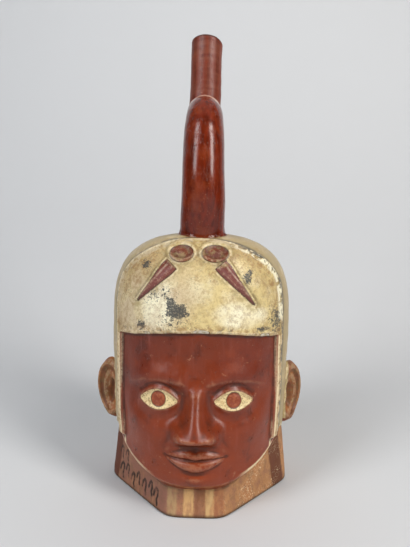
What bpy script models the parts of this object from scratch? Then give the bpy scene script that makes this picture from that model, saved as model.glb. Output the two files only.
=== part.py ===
"""Stirrup-spout head vessel in fired clay.

A hollow head in a close-fitting cap stands on a cut-off neck. A stirrup-shaped tube rises from its crown
and carries a straight spout, whose mouth is the only opening. Head, ears, stirrup and spout were fired as
one piece, so they are one object. The face looks along -Y, +X is the viewer's right, +Z is up, the unit is
the metre, and the origin is the middle of the underside.
"""

from math import cos, pi, radians, sin, sqrt

import bmesh
import bpy
import numpy as np

# Head
HEAD_HEIGHT = 0.171         # underside to the top of the crown
HEAD_WIDTH = 0.1225         # across the temples, without the ears
HEAD_FRONT = 0.064          # vertical axis to the front of the face, without the nose
HEAD_BACK = 0.0645          # vertical axis to the back of the head
WALL = 0.005                # wall of the head chamber, which is also its floor
WIDEST = 0.68               # height of the widest level, as a share of HEAD_HEIGHT
HEAD_SQUARENESS = 2.12      # exponent of the head's plan: 2 is an ellipse
CROWN_SQUARENESS = 2.8      # exponent of the crown's rise at the sides
CROWN_FRONT_EXTRA = 0.4     # the crown's front is that much squarer, and its back that much rounder

# Cut-off neck, which ends in a faceted foot
BASE_WIDTH = 0.1234         # across the two side corners of the foot
BASE_FRONT = 0.0612         # vertical axis to the flat front of the foot
BASE_BACK = 0.062           # vertical axis to the back of the foot
BASE_FLAT = 0.033           # width of the flat front
BASE_CORNER_FORWARD = 0.010  # side corners, this far forward of the axis
BASE_BACK_FLAT = 0.064      # width of the flat back
BASE_CORNER_BACK = 0.016    # rear side corners, this far behind the axis
CORNER_POWER = 26.0         # how crisp the foot's corners are
EDGE_ROUND = 0.0012         # rounding of the foot's lower edge

# Outlines: height as a share of HEAD_HEIGHT, then half width, front and back as shares of the full sizes
HEAD_OUTLINE = (
    (0.06, 0.920, 0.940, 0.850),
    (0.12, 0.930, 0.960, 0.860),
    (0.21, 0.945, 0.985, 0.890),
    (0.35, 0.965, 1.000, 0.940),
    (0.455, 0.980, 1.000, 0.980),
    (0.55, 0.992, 0.992, 1.000),
    (0.68, 1.000, 0.985, 1.000),
)
NECK_OUTLINE = (
    (0.000, 1.000, 1.000, 1.000),
    (0.040, 0.990, 0.955, 0.965),
    (0.100, 0.978, 0.910, 0.935),
    (0.220, 0.955, 0.880, 0.905),
    (0.400, 0.945, 0.875, 0.900),
)

# Headcloth
CAP_EDGE = 0.1085           # height of the cap's edge over the middle of the forehead
CAP_EDGE_DROP = 0.0035      # the edge is that much lower at the temples
CAP_THICKNESS = 0.0018      # step of the front panel over the face
CAP_SEAM_STEP = 0.0012      # step of the front panel over the cloth behind it
SEAM_FORWARD = 0.0355       # the panel's seam, this far forward of the axis at the temples
SEAM_GAP = 0.0040           # on the crown the seam runs that far in front of the stirrup's leg
STRIP_WIDTH = 0.0055        # the strip that hangs before each ear reaches that far in front of the seam
CLOTH_LOW = 0.040           # lower edge of the cloth at the ears
CLOTH_NAPE = 0.050          # lower edge of the cloth at the nape
CLOTH_SOFT = 0.0014         # width over which an edge of the cloth rises

# Discs and tapering bands on the cap, seen from the front: across from the middle, and down from the crown
DISC_X = 0.0100
DISC_DOWN = 0.0162
DISC_HALF_WIDTH = {"left": 0.0082, "right": 0.0091}
DISC_HALF_HEIGHT = 0.0060
DISC_RIM = 0.0010           # relief of the rim
DISC_DISH = 0.0009          # depth of the dish
BAND_FOOT = {"left": (0.0160, 0.0232), "right": (0.0137, 0.0232)}
BAND_TIP = {"left": (0.0366, 0.0446), "right": (0.0336, 0.0462)}
BAND_WIDTH = 0.0084         # at the foot, from where it tapers to the tip
BAND_RELIEF = 0.0014
BAND_SOFT = 0.0014          # width over which a band's edge rises
BAND_RIDGE = 0.0012         # half width of the ridge along a band
CARVING_DEPTH = 0.010       # the carving of the front fades in over that much forward of the axis
FACE_FADE = 0.007           # the face's relief fades in over that much in front of the strips

# Face and jaw
CHIN = 0.0165               # height of the chin's lower edge
JAW_SIDE = 0.0565           # half width of the jaw's oval
JAW_MIDDLE = 0.058          # height of the oval's middle
JAW_ANGLE = 62.0            # degrees from the front at which the cloth covers the jaw
JAW_EAR = 0.040             # height of the head's lower edge below the ears
NAPE = 0.030                # height of the fold at the nape
JAW_SOFT = 0.0065           # height over which jaw turns into neck

# Ears
EAR_HEIGHT = 0.044
EAR_WIDTH = 0.0252
EAR_LEAN = 0.0045           # the ear's lower end is drawn in to the head by that much
EAR_THICKNESS = 0.0085
EAR_DROP = 0.0040           # middle of the ear, this far below the middle of the face
EAR_BACK = 0.0035           # middle of the ear, this far behind the axis
EAR_FLARE = {"left": 57.0, "right": 41.0}  # degrees that each ear stands off the side of the head
EAR_SUNK = 0.0063           # how far the ear's front edge is let into the head

# Stirrup
ARCH_RISE = 0.0964          # crown to the top of the stirrup's outer side
ARCH_HALF_SPAN = 0.041      # axis to the tube's middle where the legs are furthest apart
ARCH_FOOT = 0.028           # axis to the tube's middle where a leg meets the crown
ARCH_WIDE_RISE = 0.042      # crown to the level at which the legs are furthest apart
ARCH_SINK = 0.005           # a leg meets the crown's slope this far below its top
ARCH_ROUND = 2.3            # exponent of the arch's upper half
LEG_DIAMETER = 0.0295
CREST_DIAMETER = 0.0238
TUBE_WALL = 0.0045
FOOT_FLARE = 0.0012         # the clay swells that much where a leg meets the crown
FLARE_HEIGHT = 0.0040
STIRRUP_TURN = 2.0          # degrees that the stirrup is turned about the spout, its front to +X

# Spout
SPOUT_HEIGHT = 0.0446       # top of the stirrup to the lip
SPOUT_DIAMETER = 0.0222
SPOUT_FOOT_DIAMETER = 0.0232
SPOUT_BORE = 0.0150
SPOUT_LEAN = 1.2            # degrees to +X
LIP_TILT = 5.0              # degrees that the worn lip falls to +X
LIP_ROUND = 0.0022

# Mesh density
HEAD_SEGMENTS = 176
HEAD_TRIANGLES = 6900       # about as many are left after the simplification
FRONT_CROWDING = 0.42       # 0 spreads the segments evenly, more crowds them at the face
EAR_SEGMENTS = 18
TUBE_SIDES = 16
BORE_SIDES = 12
SPOUT_SIDES = 28
ARCH_STEPS = 30
UPPER_SHARE = 0.645         # share of a leg's steps that lie in the arch's upper half
LEG_REACH = 1.35            # a leg runs into the crown by a third of its length below the widest level
INNER_SEGMENTS = 28

# Heights that follow from the sizes above
ARCH_TOP = HEAD_HEIGHT + ARCH_RISE
ARCH_WIDE_Z = HEAD_HEIGHT + ARCH_WIDE_RISE
ARCH_FOOT_Z = HEAD_HEIGHT - ARCH_SINK
SPOUT_TOP = ARCH_TOP + SPOUT_HEIGHT
SPOUT_FOOT = ARCH_TOP - CREST_DIAMETER / 2   # the spout starts at the middle of the stirrup's tube
STRIP_FORWARD = SEAM_FORWARD + STRIP_WIDTH

# The face is carved in units of its height's 92nd part, about a millimetre: z from the chin, x from mid-face
FACE_UNIT = (CAP_EDGE - CHIN) / 92
NOSE_BASE = 92 / 3          # the face's thirds: chin, base of the nose, brow, cap
BROW = 2 * 92 / 3
EYE_LEVEL = BROW - 8.8
MOUTH = NOSE_BASE - 92 / 9
EYE_WIDTH = 22.0            # also the gap between the eyes
UPPER_LID = 5.4             # how far each lid arches from the line of the eye
LOWER_LID = 4.0

NAME = "vessel"
SLIP_RED = (0.19, 0.036, 0.017, 1.0)


def ramp(t):
    """Smooth step from 0 to 1 as t goes from 0 to 1."""
    t = np.clip(t, 0.0, 1.0)
    return t * t * (3.0 - 2.0 * t)


def bell(distance, width):
    """Smooth bump: 1 in the middle, about a third at one width away."""
    return np.exp(-(distance / width) ** 2)


def through(rows, column, at):
    """Smooth curve through one column of an outline table, over the table's first column."""
    table = np.array(rows)
    knots, values = table[:, 0], table[:, column]
    slopes = np.gradient(values, knots)
    at = np.clip(at, knots[0], knots[-1])
    i = np.clip(np.searchsorted(knots, at) - 1, 0, len(knots) - 2)
    gap = knots[i + 1] - knots[i]
    t = (at - knots[i]) / gap
    start = (1 + 2 * t) * (1 - t) ** 2 * values[i] + t * (1 - t) ** 2 * gap * slopes[i]
    end = t * t * (3 - 2 * t) * values[i + 1] + t * t * (t - 1) * gap * slopes[i + 1]
    return start + end


def head_radius(angle, z):
    """Distance from the axis to the head's side at an angle from the front, without carving."""
    share = z / HEAD_HEIGHT
    half_width = through(HEAD_OUTLINE, 1, share) * HEAD_WIDTH / 2
    front = through(HEAD_OUTLINE, 2, share) * HEAD_FRONT
    back = through(HEAD_OUTLINE, 3, share) * HEAD_BACK
    depth = np.where(np.cos(angle) > 0, front, back)
    n = HEAD_SQUARENESS
    return ((np.abs(np.sin(angle)) / half_width) ** n + (np.abs(np.cos(angle)) / depth) ** n) ** (-1 / n)


def foot_edges():
    """Each straight side of the foot's plan as its outward normal and distance from the axis."""
    half = BASE_WIDTH / 2
    edges = [((0.0, -1.0), BASE_FRONT), ((0.0, 1.0), BASE_BACK), ((1.0, 0.0), half), ((-1.0, 0.0), half)]
    corners = (
        ((BASE_FLAT / 2, -BASE_FRONT), (half, -BASE_CORNER_FORWARD)),
        ((half, BASE_CORNER_BACK), (BASE_BACK_FLAT / 2, BASE_BACK)),
    )
    for (x0, y0), (x1, y1) in corners:
        length = sqrt((x1 - x0) ** 2 + (y1 - y0) ** 2)
        normal = ((y1 - y0) / length, (x0 - x1) / length)
        distance = x0 * normal[0] + y0 * normal[1]
        edges.append((normal, distance))
        edges.append(((-normal[0], normal[1]), distance))
    return edges


def neck_radius(angle, z):
    """Distance from the axis to the neck's side at an angle from the front."""
    share = z / HEAD_HEIGHT
    side = through(NECK_OUTLINE, 1, share)
    front = through(NECK_OUTLINE, 2, share)
    back = through(NECK_OUTLINE, 3, share)
    along_x, along_y = np.sin(angle), -np.cos(angle)
    total = np.zeros_like(angle)
    for (nx, ny), distance in foot_edges():
        scale = side * abs(nx) + (front if ny < 0 else back) * (1 - abs(nx))
        facing = np.maximum(nx * along_x + ny * along_y, 0.0)
        total = total + (facing / (distance * scale)) ** CORNER_POWER
    return total ** (-1 / CORNER_POWER)


def jaw_height(angle):
    """Height of the edge between head and neck: an oval jaw in front, a low curve round the nape."""
    limit = radians(JAW_ANGLE)
    aside = np.clip(np.sin(np.minimum(np.abs(angle), pi / 2)) * HEAD_WIDTH / 2 / JAW_SIDE, 0.0, 1.0)
    jaw = JAW_MIDDLE - (JAW_MIDDLE - CHIN) * (1 - aside ** 2.2) ** (1 / 2.2)
    nape = JAW_EAR + (NAPE - JAW_EAR) * ramp((np.abs(angle) - limit) / (pi - limit))
    return jaw + (nape - jaw) * ramp((np.abs(angle) - limit) / radians(10.0) + 0.5)


def cap_edge(x):
    """Height of the cap's lower edge over the forehead."""
    return CAP_EDGE - CAP_EDGE_DROP * ramp(np.abs(x) / (HEAD_WIDTH / 2))


def seam_forward(z):
    """How far forward of the axis the front panel's seam lies at a height."""
    top = ramp((z / HEAD_HEIGHT - 0.80) / 0.17)
    at_leg = ARCH_FOOT + LEG_DIAMETER / 2 + SEAM_GAP
    return SEAM_FORWARD + (at_leg - SEAM_FORWARD) * top


def cloth_relief(x, y, z, angle):
    """Thickness of the headcloth: front panel, strips before the ears, and the cloth behind the seam."""
    above_edge = ramp((z - cap_edge(x)) / CLOTH_SOFT + 0.5)
    low_edge = CLOTH_LOW + (CLOTH_NAPE - CLOTH_LOW) * ramp((np.abs(angle) - pi / 2) / (pi / 2))
    above_low = ramp((z - low_edge) / CLOTH_SOFT)
    beside_face = ramp((y + STRIP_FORWARD) / CLOTH_SOFT + 0.5)
    before_seam = ramp((-seam_forward(z) - y) / CLOTH_SOFT + 0.5)
    covered = np.maximum(above_edge, beside_face * above_low)
    return covered * (CAP_THICKNESS - CAP_SEAM_STEP * (1 - before_seam))


def by_side(x, pair):
    """The left value for points at -X, and the right one for the others."""
    return np.where(x < 0, pair["left"], pair["right"])


def disc_ring(x, z):
    """Place across the nearer disc: 0 in its middle and 1 at its rim."""
    across = (np.abs(x) - DISC_X) / by_side(x, DISC_HALF_WIDTH)
    upward = (z - HEAD_HEIGHT + DISC_DOWN) / DISC_HALF_HEIGHT
    return np.sqrt(across ** 2 + upward ** 2)


def disc_relief(x, z):
    """The two dished discs with a raised rim below the stirrup."""
    ring = disc_ring(x, z)
    return DISC_RIM * bell(ring - 0.92, 0.16) - DISC_DISH * ramp((0.80 - ring) / 0.3)


def band_place(x, z):
    """Place along and beside the nearer tapering band, the band's half width there, and its length."""
    foot_x, foot_down, tip_x, tip_down = [
        by_side(x, {side: ends[side][i] for side in ends}) for ends in (BAND_FOOT, BAND_TIP) for i in (0, 1)]
    dx, dz = tip_x - foot_x, foot_down - tip_down
    length = np.hypot(dx, dz)
    from_foot_x = np.abs(x) - foot_x
    from_foot_z = z - HEAD_HEIGHT + foot_down
    along = (from_foot_x * dx + from_foot_z * dz) / length
    aside = np.abs(from_foot_x * dz - from_foot_z * dx) / length
    return along, aside, BAND_WIDTH / 2 * np.clip(1.12 - along / length, 0.0, 1.0), length


def band_relief(x, z):
    """The two tapering bands that run down and out from the discs, each with a ridge along its middle."""
    along, aside, half, length = band_place(x, z)
    inside = ramp(along / BAND_SOFT + 0.5) * ramp((length - along) / BAND_SOFT + 0.5)
    edge = ramp((half - aside) / BAND_SOFT + 0.5)
    return BAND_RELIEF * inside * edge * (0.55 + 0.45 * bell(aside, BAND_RIDGE))


def brow_relief(x, z):
    """A brow ridge over each eye, soft above and crisp below."""
    arc = BROW + 3.2 * (1 - ((x - EYE_WIDTH) / 19) ** 2)
    width = np.where(z > arc, 7.5, 3.4)
    ends = ramp((x - 1) / 9) * ramp((48 - x) / 16)
    return 2.7 * bell(z - arc, width) * ends


def eye_relief(x, z):
    """Socket, eyeball, lids and the fold over the upper lid."""
    dx, dz = x - EYE_WIDTH, z - EYE_LEVEL
    half = EYE_WIDTH / 2
    socket = -4.0 * bell(dx + 1.0, 15.5) * bell(dz - 1.0, 10.5)
    ball = 4.9 * ramp((1.35 - np.hypot(dx / 12.5, dz / 9.0)) / 1.15)
    across = np.clip(1 - (dx / half) ** 2, 0.0, 1.0)
    upper, lower = UPPER_LID * across, -LOWER_LID * across
    opening = np.minimum(upper - dz, dz - lower)
    near = ramp((half + 3 - np.abs(dx)) / 4)
    thick = np.where(dz > 0, 1.4, 1.0)
    lids = thick * ramp(0.5 - opening / 0.7) * bell(np.minimum(opening, 0.0), 3.4) * near
    fold = -0.8 * bell(dz - upper - 4.2, 1.1) * near
    return socket + ball + lids + fold


def nose_relief(x, z):
    """Bridge, tip, wings and nostrils."""
    down = (BROW - z) / (BROW - NOSE_BASE)
    slope = 3.0 + 12.6 * np.clip(down, 0.0, 0.86) ** 1.15
    height = slope * ramp((down + 0.18) / 0.35) * (1 - ramp((down - 0.86) / 0.26))
    half = 5.0 + 5.0 * np.clip(down, 0.0, 1.0) ** 1.6
    bridge = height * np.exp(-(x / half) ** 2.6)
    wing = 6.8 * bell(x - 9.8, 4.3) * bell(z - NOSE_BASE - 4.4, 4.8)
    nostril = -2.6 * bell(x - 5.4, 2.3) * bell(z - NOSE_BASE - 0.2, 1.5)
    return bridge + wing + nostril


def lip(share, reach):
    """Rounded lip over its share of the way from the mouth's line, up to reach."""
    return np.sin(np.clip(share / reach, 0.0, 1.0) * pi) ** 0.7


def mouth_relief(x, z):
    """Closed lips on the soft swell around the mouth."""
    half = 18.0
    across = np.clip(1 - (x / half) ** 2, 0.0, 1.0)
    above = z - MOUTH - 0.7 * (x / half) ** 2 + 0.35 * bell(x, 3.0)
    upper = 1.9 * lip(above / np.maximum(4.4 * across * (1 - 0.20 * bell(x, 2.4)), 0.001), 1.25)
    lower = 2.5 * lip(-above / np.maximum(5.2 * across, 0.001), 1.3)
    swell = 3.6 * bell(x, 20) * bell(z - MOUTH - 1, 13.0)
    groove = -0.9 * bell(above, 0.75) * ramp((half + 1.5 - x) / 4)
    corner = -0.9 * bell(x - half, 3.0) * bell(z - MOUTH - 0.8, 2.4)
    philtrum = -0.6 * bell(x, 1.9) * ramp((z - MOUTH - 4.0) / 2) * ramp((MOUTH + 9.8 - z) / 2)
    return swell + (upper + lower) * across ** 0.6 + groove + corner + philtrum


def chin_relief(x, z):
    """Chin, and the furrow between it and the lower lip."""
    chin = 4.8 * bell(x, 13.0) * bell(z - MOUTH / 2 + 2.0, 7.8)
    furrow = -1.2 * bell(x, 10.0) * bell(z - MOUTH + 8.0, 2.2)
    return chin + furrow


def cheek_relief(x, z):
    """Full cheeks with a faint fold between them and the mouth, and hollow temples."""
    cheek = 3.6 * bell(x - 31, 14.0) * bell(z - NOSE_BASE - 6, 13.0)
    fold = -0.5 * bell((x - 15.5) * 0.85 + (z - NOSE_BASE - 1) * 0.52, 2.0) * bell(z - NOSE_BASE + 3, 7)
    temple = -1.4 * bell(x - 48, 8.0) * bell(z - BROW - 8, 12.0)
    return cheek + fold + temple


def face_relief(x, z):
    """How far the carving of the face stands forward of the plain head."""
    across, up = np.abs(x) / FACE_UNIT, (z - CHIN) / FACE_UNIT
    inside = ramp((up + 1) / 6) * ramp((92 - up) / 4)
    carving = brow_relief(across, up) + eye_relief(across, up) + nose_relief(across, up)
    carving = carving + mouth_relief(across, up) + chin_relief(across, up) + cheek_relief(across, up)
    return carving * inside * FACE_UNIT


def outer_point(angle, z, shrink, rise):
    """Point of the head's outer side: shrink draws it to the axis, rise lifts it over the widest level."""
    jaw = jaw_height(angle)
    head_share = ramp((z - jaw) / JAW_SOFT + 0.5)
    neck, head = neck_radius(angle, z), head_radius(angle, z)
    radius = (neck + (head - neck) * head_share) * shrink
    x, y = radius * np.sin(angle), -radius * np.cos(angle)
    z = z + rise
    cloth = cloth_relief(x, y, z, angle)
    front = ramp(-y / CARVING_DEPTH)
    cloth = cloth + front * (disc_relief(x, z) + band_relief(x, z))
    before_strip = ramp((-y - STRIP_FORWARD) / FACE_FADE)
    up = np.clip(z / HEAD_HEIGHT - WIDEST, 0.0, 1.0) * HEAD_HEIGHT
    crown = HEAD_HEIGHT * (1 - WIDEST)
    normal = np.array([x / (HEAD_WIDTH / 2) ** 2, y / HEAD_FRONT ** 2, up / crown ** 2])
    normal = normal / np.maximum(np.linalg.norm(normal, axis=0), 1e-9)
    point = np.array([x, y, z]) + cloth * normal
    point[1] -= before_strip * face_relief(x, z) * shrink
    return point


def crown_factors(angle, beta):
    """Shrink and rise on the crown: beta runs from 0 at the widest level to a right angle at the top."""
    n = CROWN_SQUARENESS + CROWN_FRONT_EXTRA * np.cos(angle) * np.abs(np.cos(angle))
    reach = (np.cos(beta) ** n + np.sin(beta) ** n) ** (-1 / n)
    return reach * np.cos(beta), reach * np.sin(beta) * HEAD_HEIGHT * (1 - WIDEST)


def ring_plan(wall_rings, crown_rings, floor_rings):
    """Rings from the crown's top to the middle of the underside, each as a kind and a place along it."""
    plan = [("crown", pi / 2 * (1 - i / crown_rings)) for i in range(crown_rings)]
    plan += [("wall", 1 - i / wall_rings) for i in range(wall_rings + 1)]
    plan += [("floor", 1 - i / floor_rings) for i in range(1, floor_rings + 1)]
    return plan


def sphere_rings(name, segments, rings):
    """A UV sphere and, for each of its points, its ring from the top and its angle from the front."""
    mesh = bpy.data.meshes.new(name)
    bm = bmesh.new()
    bmesh.ops.create_uvsphere(bm, u_segments=segments, v_segments=rings, radius=1.0)
    bm.to_mesh(mesh)
    bm.free()
    points = np.empty(len(mesh.vertices) * 3, dtype=np.float32)
    mesh.vertices.foreach_get("co", points)
    points = points.reshape(-1, 3).astype(float)
    ring = np.rint(np.arccos(np.clip(points[:, 2], -1, 1)) / pi * rings).astype(int)
    angle = np.arctan2(points[:, 0], -points[:, 1])
    return mesh, ring, angle


def shape_sphere(name, segments, plan, low, high, place):
    """A UV sphere whose rings are moved, by the plan, to where place(angle, z, shrink, rise) says."""
    mesh, ring, angle = sphere_rings(name, segments, len(plan) - 1)
    angle = angle - FRONT_CROWDING * np.sin(angle)
    kinds = np.array([kind for kind, _ in plan])[ring]
    places = np.array([value for _, value in plan])[ring]
    beta = np.where(kinds == "crown", places, 0.0)
    shrink, rise = crown_factors(angle, beta)
    rise = rise * (high - low) / HEAD_HEIGHT
    z = np.where(kinds == "crown", 1.0, np.where(kinds == "wall", places, 0.0))
    z = low + z * WIDEST * (high - low)
    shrink = np.where(kinds == "floor", places, shrink)
    points = place(angle, z, shrink, rise)
    mesh.vertices.foreach_set("co", np.ascontiguousarray(points.T, dtype=np.float32).ravel())
    mesh.update()
    return mesh


def head_place(angle, z, shrink, rise):
    """The outer side, with the foot's lower edge rounded off above the flat underside."""
    drop = np.maximum(EDGE_ROUND - z, 0.0)
    inset = EDGE_ROUND - np.sqrt(np.maximum(EDGE_ROUND ** 2 - drop ** 2, 0.0))
    point = outer_point(angle, z, shrink, rise)
    point[:2] *= 1 - inset / BASE_FRONT
    return point


def inner_place(angle, z, shrink, rise):
    """The chamber's plain inside: a wall's thickness inside neck and head alike."""
    upper = ramp((z - jaw_height(angle) - WALL) / (2 * WALL))
    neck, head = neck_radius(angle, z), head_radius(angle, z)
    radius = (neck + (head - neck) * upper - WALL) * shrink
    return np.array([radius * np.sin(angle), -radius * np.cos(angle), z + rise])


def finish_object(name, mesh, collection, material):
    obj = bpy.data.objects.new(name, mesh)
    collection.objects.link(obj)
    mesh.materials.clear()
    if material is not None:
        mesh.materials.append(material)
    return obj


def make_head(collection, material):
    plan = ring_plan(wall_rings=100, crown_rings=34, floor_rings=8)
    mesh = shape_sphere(NAME, HEAD_SEGMENTS, plan, 0.0, HEAD_HEIGHT, head_place)
    head = finish_object(NAME, mesh, collection, material)
    simplify = head.modifiers.new("simplify", "DECIMATE")
    simplify.ratio = HEAD_TRIANGLES / (2 * HEAD_SEGMENTS * (len(plan) - 2))
    return head


def make_chamber(collection):
    plan = ring_plan(wall_rings=9, crown_rings=6, floor_rings=2)
    mesh = shape_sphere("chamber", INNER_SEGMENTS, plan, WALL, HEAD_HEIGHT - WALL, inner_place)
    return finish_object("chamber", mesh, collection, None)


def ear_outline(across, up):
    """Place on the ear's leaf-like outline, in metres: across from the head outwards, up to the top."""
    narrowing = 1 + 0.18 * up
    lean = EAR_LEAN * (max(0.25 - up, 0.0) / 1.25) ** 2
    return across * EAR_WIDTH / 2 * narrowing - lean, up * EAR_HEIGHT / 2


def make_ear(side, collection):
    """An ear with a raised rim, a hollow and a lobe, standing off the head: side is 1 at +X and -1 at -X."""
    name = "right" if side > 0 else "left"
    mesh = bpy.data.meshes.new("ear_" + name)
    bm = bmesh.new()
    bmesh.ops.create_uvsphere(bm, u_segments=EAR_SEGMENTS, v_segments=EAR_SEGMENTS // 2 + 2, radius=1.0)
    flare = radians(EAR_FLARE[name])
    middle_x = HEAD_WIDTH / 2 + sin(flare) * EAR_WIDTH / 2 - EAR_SUNK
    for vert in bm.verts:
        out, up, across = vert.co
        rim = sqrt(across * across + up * up)
        if out > 0:
            thick = (0.30 + 0.55 * float(bell(rim - 0.78, 0.18))) * sqrt(max(1 - rim ** 4, 0.0))
        else:
            thick = 0.55 * out
        across, up, thick = *ear_outline(across, up), thick * EAR_THICKNESS
        x = middle_x + across * sin(flare) + thick * cos(flare)
        y = EAR_BACK + across * cos(flare) - thick * sin(flare)
        vert.co = (side * x, y, (CAP_EDGE + CHIN) / 2 - EAR_DROP + up)
    if side < 0:
        bmesh.ops.reverse_faces(bm, faces=bm.faces)
    bm.to_mesh(mesh)
    bm.free()
    return finish_object("ear_" + name, mesh, collection, None)


def arch_point(t):
    """Middle of the stirrup's tube at t: -1 deep in the front leg, 0 at the crest, 1 in the rear leg."""
    side = -1.0 if t < 0 else 1.0
    turn = abs(t) / UPPER_SHARE
    if turn < 1.0:
        beta = pi / 2 * (1 - turn)
        reach = (cos(beta) ** ARCH_ROUND + sin(beta) ** ARCH_ROUND) ** (-1 / ARCH_ROUND)
        y, z = ARCH_HALF_SPAN * reach * cos(beta), (SPOUT_FOOT - ARCH_WIDE_Z) * reach * sin(beta)
        return side * y, ARCH_WIDE_Z + z
    down = (turn - 1.0) / (1 / UPPER_SHARE - 1) * LEG_REACH
    y = ARCH_HALF_SPAN - (ARCH_HALF_SPAN - ARCH_FOOT) * down ** 2
    return side * y, ARCH_WIDE_Z - (ARCH_WIDE_Z - ARCH_FOOT_Z) * down


def arch_radius(z):
    """Outer radius of the stirrup's tube at a height, with the swelling at its foot."""
    share = float(np.clip((SPOUT_FOOT - z) / (SPOUT_FOOT - ARCH_FOOT_Z), 0.0, 1.0))
    flare = FOOT_FLARE * float(np.exp(-max(z - ARCH_FOOT_Z - 0.001, 0.0) / FLARE_HEIGHT))
    return (CREST_DIAMETER + (LEG_DIAMETER - CREST_DIAMETER) * share) / 2 + flare


def make_tube(name, thinner, sides, collection):
    """A tube along the stirrup as a closed mesh, its radius smaller than the outside's by so much."""
    curve = bpy.data.curves.new(name, "CURVE")
    curve.dimensions = "3D"
    curve.bevel_depth = 1.0
    curve.bevel_resolution = sides // 4 - 2
    curve.use_fill_caps = True
    spline = curve.splines.new("POLY")
    spline.points.add(ARCH_STEPS)
    for i, point in enumerate(spline.points):
        y, z = arch_point(2 * i / ARCH_STEPS - 1)
        point.co = (-y * sin(radians(STIRRUP_TURN)), y * cos(radians(STIRRUP_TURN)), z, 1.0)
        point.radius = arch_radius(z) - thinner
    bent = bpy.data.objects.new(name, curve)
    collection.objects.link(bent)
    bpy.context.view_layer.update()
    mesh = bpy.data.meshes.new_from_object(bent.evaluated_get(bpy.context.evaluated_depsgraph_get()))
    bpy.data.objects.remove(bent)
    bm = bmesh.new()
    bm.from_mesh(mesh)
    bmesh.ops.remove_doubles(bm, verts=bm.verts, dist=1e-6)
    bmesh.ops.recalc_face_normals(bm, faces=bm.faces)
    bm.to_mesh(mesh)
    bm.free()
    return finish_object(name, mesh, collection, None)


def lean_spout(bm):
    """Leans the spout about its foot on the arch, and tilts the worn lip."""
    for vert in bm.verts:
        height = vert.co.z - SPOUT_FOOT
        share = float(ramp(height / (SPOUT_TOP - SPOUT_FOOT)))
        vert.co.z -= vert.co.x * sin(radians(LIP_TILT)) * share
        vert.co.x += height * sin(radians(SPOUT_LEAN))


def make_spout(collection):
    height = SPOUT_TOP - SPOUT_FOOT
    mesh = bpy.data.meshes.new("spout")
    bm = bmesh.new()
    bmesh.ops.create_cone(bm, cap_ends=True, segments=SPOUT_SIDES, radius1=SPOUT_FOOT_DIAMETER / 2,
                          radius2=SPOUT_DIAMETER / 2, depth=height)
    bmesh.ops.translate(bm, verts=bm.verts, vec=(0, 0, SPOUT_FOOT + height / 2))
    rim = [e for e in bm.edges if all(v.co.z > SPOUT_TOP - 1e-5 for v in e.verts)]
    bmesh.ops.bevel(bm, geom=rim, offset=LIP_ROUND, segments=3, affect="EDGES", profile=0.5)
    lean_spout(bm)
    bm.to_mesh(mesh)
    bm.free()
    return finish_object("spout", mesh, collection, None)


def make_spout_bore(collection):
    top = SPOUT_TOP + SPOUT_DIAMETER / 2
    mesh = bpy.data.meshes.new("spout_bore")
    bm = bmesh.new()
    bmesh.ops.create_cone(bm, cap_ends=True, segments=SPOUT_SIDES, radius1=SPOUT_BORE / 2,
                          radius2=SPOUT_BORE / 2, depth=top - SPOUT_FOOT)
    bmesh.ops.translate(bm, verts=bm.verts, vec=(0, 0, (SPOUT_FOOT + top) / 2))
    for vert in bm.verts:
        vert.co.x += (vert.co.z - SPOUT_FOOT) * sin(radians(SPOUT_LEAN))
    bm.to_mesh(mesh)
    bm.free()
    return finish_object("spout_bore", mesh, collection, None)


def combine(target, tool, operation):
    step = target.modifiers.new(f"{operation.lower()} {tool.name}", "BOOLEAN")
    step.operation = operation
    step.object = tool
    step.solver = "EXACT"
    tool.hide_render = True
    tool.display_type = "WIRE"


def clay(name, colour, roughness):
    material = bpy.data.materials.new(name)
    material.use_nodes = True
    shader = material.node_tree.nodes["Principled BSDF"]
    shader.inputs["Base Color"].default_value = colour
    shader.inputs["Roughness"].default_value = roughness
    shader.inputs["Metallic"].default_value = 0.0
    return material


def new_collection(name):
    collection = bpy.data.collections.new(name)
    bpy.context.scene.collection.children.link(collection)
    return collection


def main():
    for obj in list(bpy.data.objects):
        bpy.data.objects.remove(obj)
    parts = new_collection("stirrup_spout_head_vessel")
    tools = new_collection("cutters")
    vessel = make_head(parts, clay("burnished_clay", SLIP_RED, 0.45))
    for side in (-1, 1):
        combine(vessel, make_ear(side, tools), "UNION")
    combine(vessel, make_tube("stirrup", 0.0, TUBE_SIDES, tools), "UNION")
    combine(vessel, make_spout(tools), "UNION")
    combine(vessel, make_chamber(tools), "DIFFERENCE")
    combine(vessel, make_tube("stirrup_bore", TUBE_WALL, BORE_SIDES, tools), "DIFFERENCE")
    combine(vessel, make_spout_bore(tools), "DIFFERENCE")
    vessel.data.shade_smooth()


main()
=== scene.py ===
"""Looks of the stirrup-spout head vessel around its fixed solid.

The fine clay surface repeats the solid's own sizes and functions and adds what is too small for it: crisp
edges, the ears' folds, chips, the roll of the seams and the swells of hand-formed clay. Slips, painted marks,
soot, wear and some painted shade and highlights come from one procedural material, which reads signed
distances kept on the mesh. The face looks along -Y, +Z is up, and lengths are in metres.
"""

from math import cos, pi, radians, sin, sqrt

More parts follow.
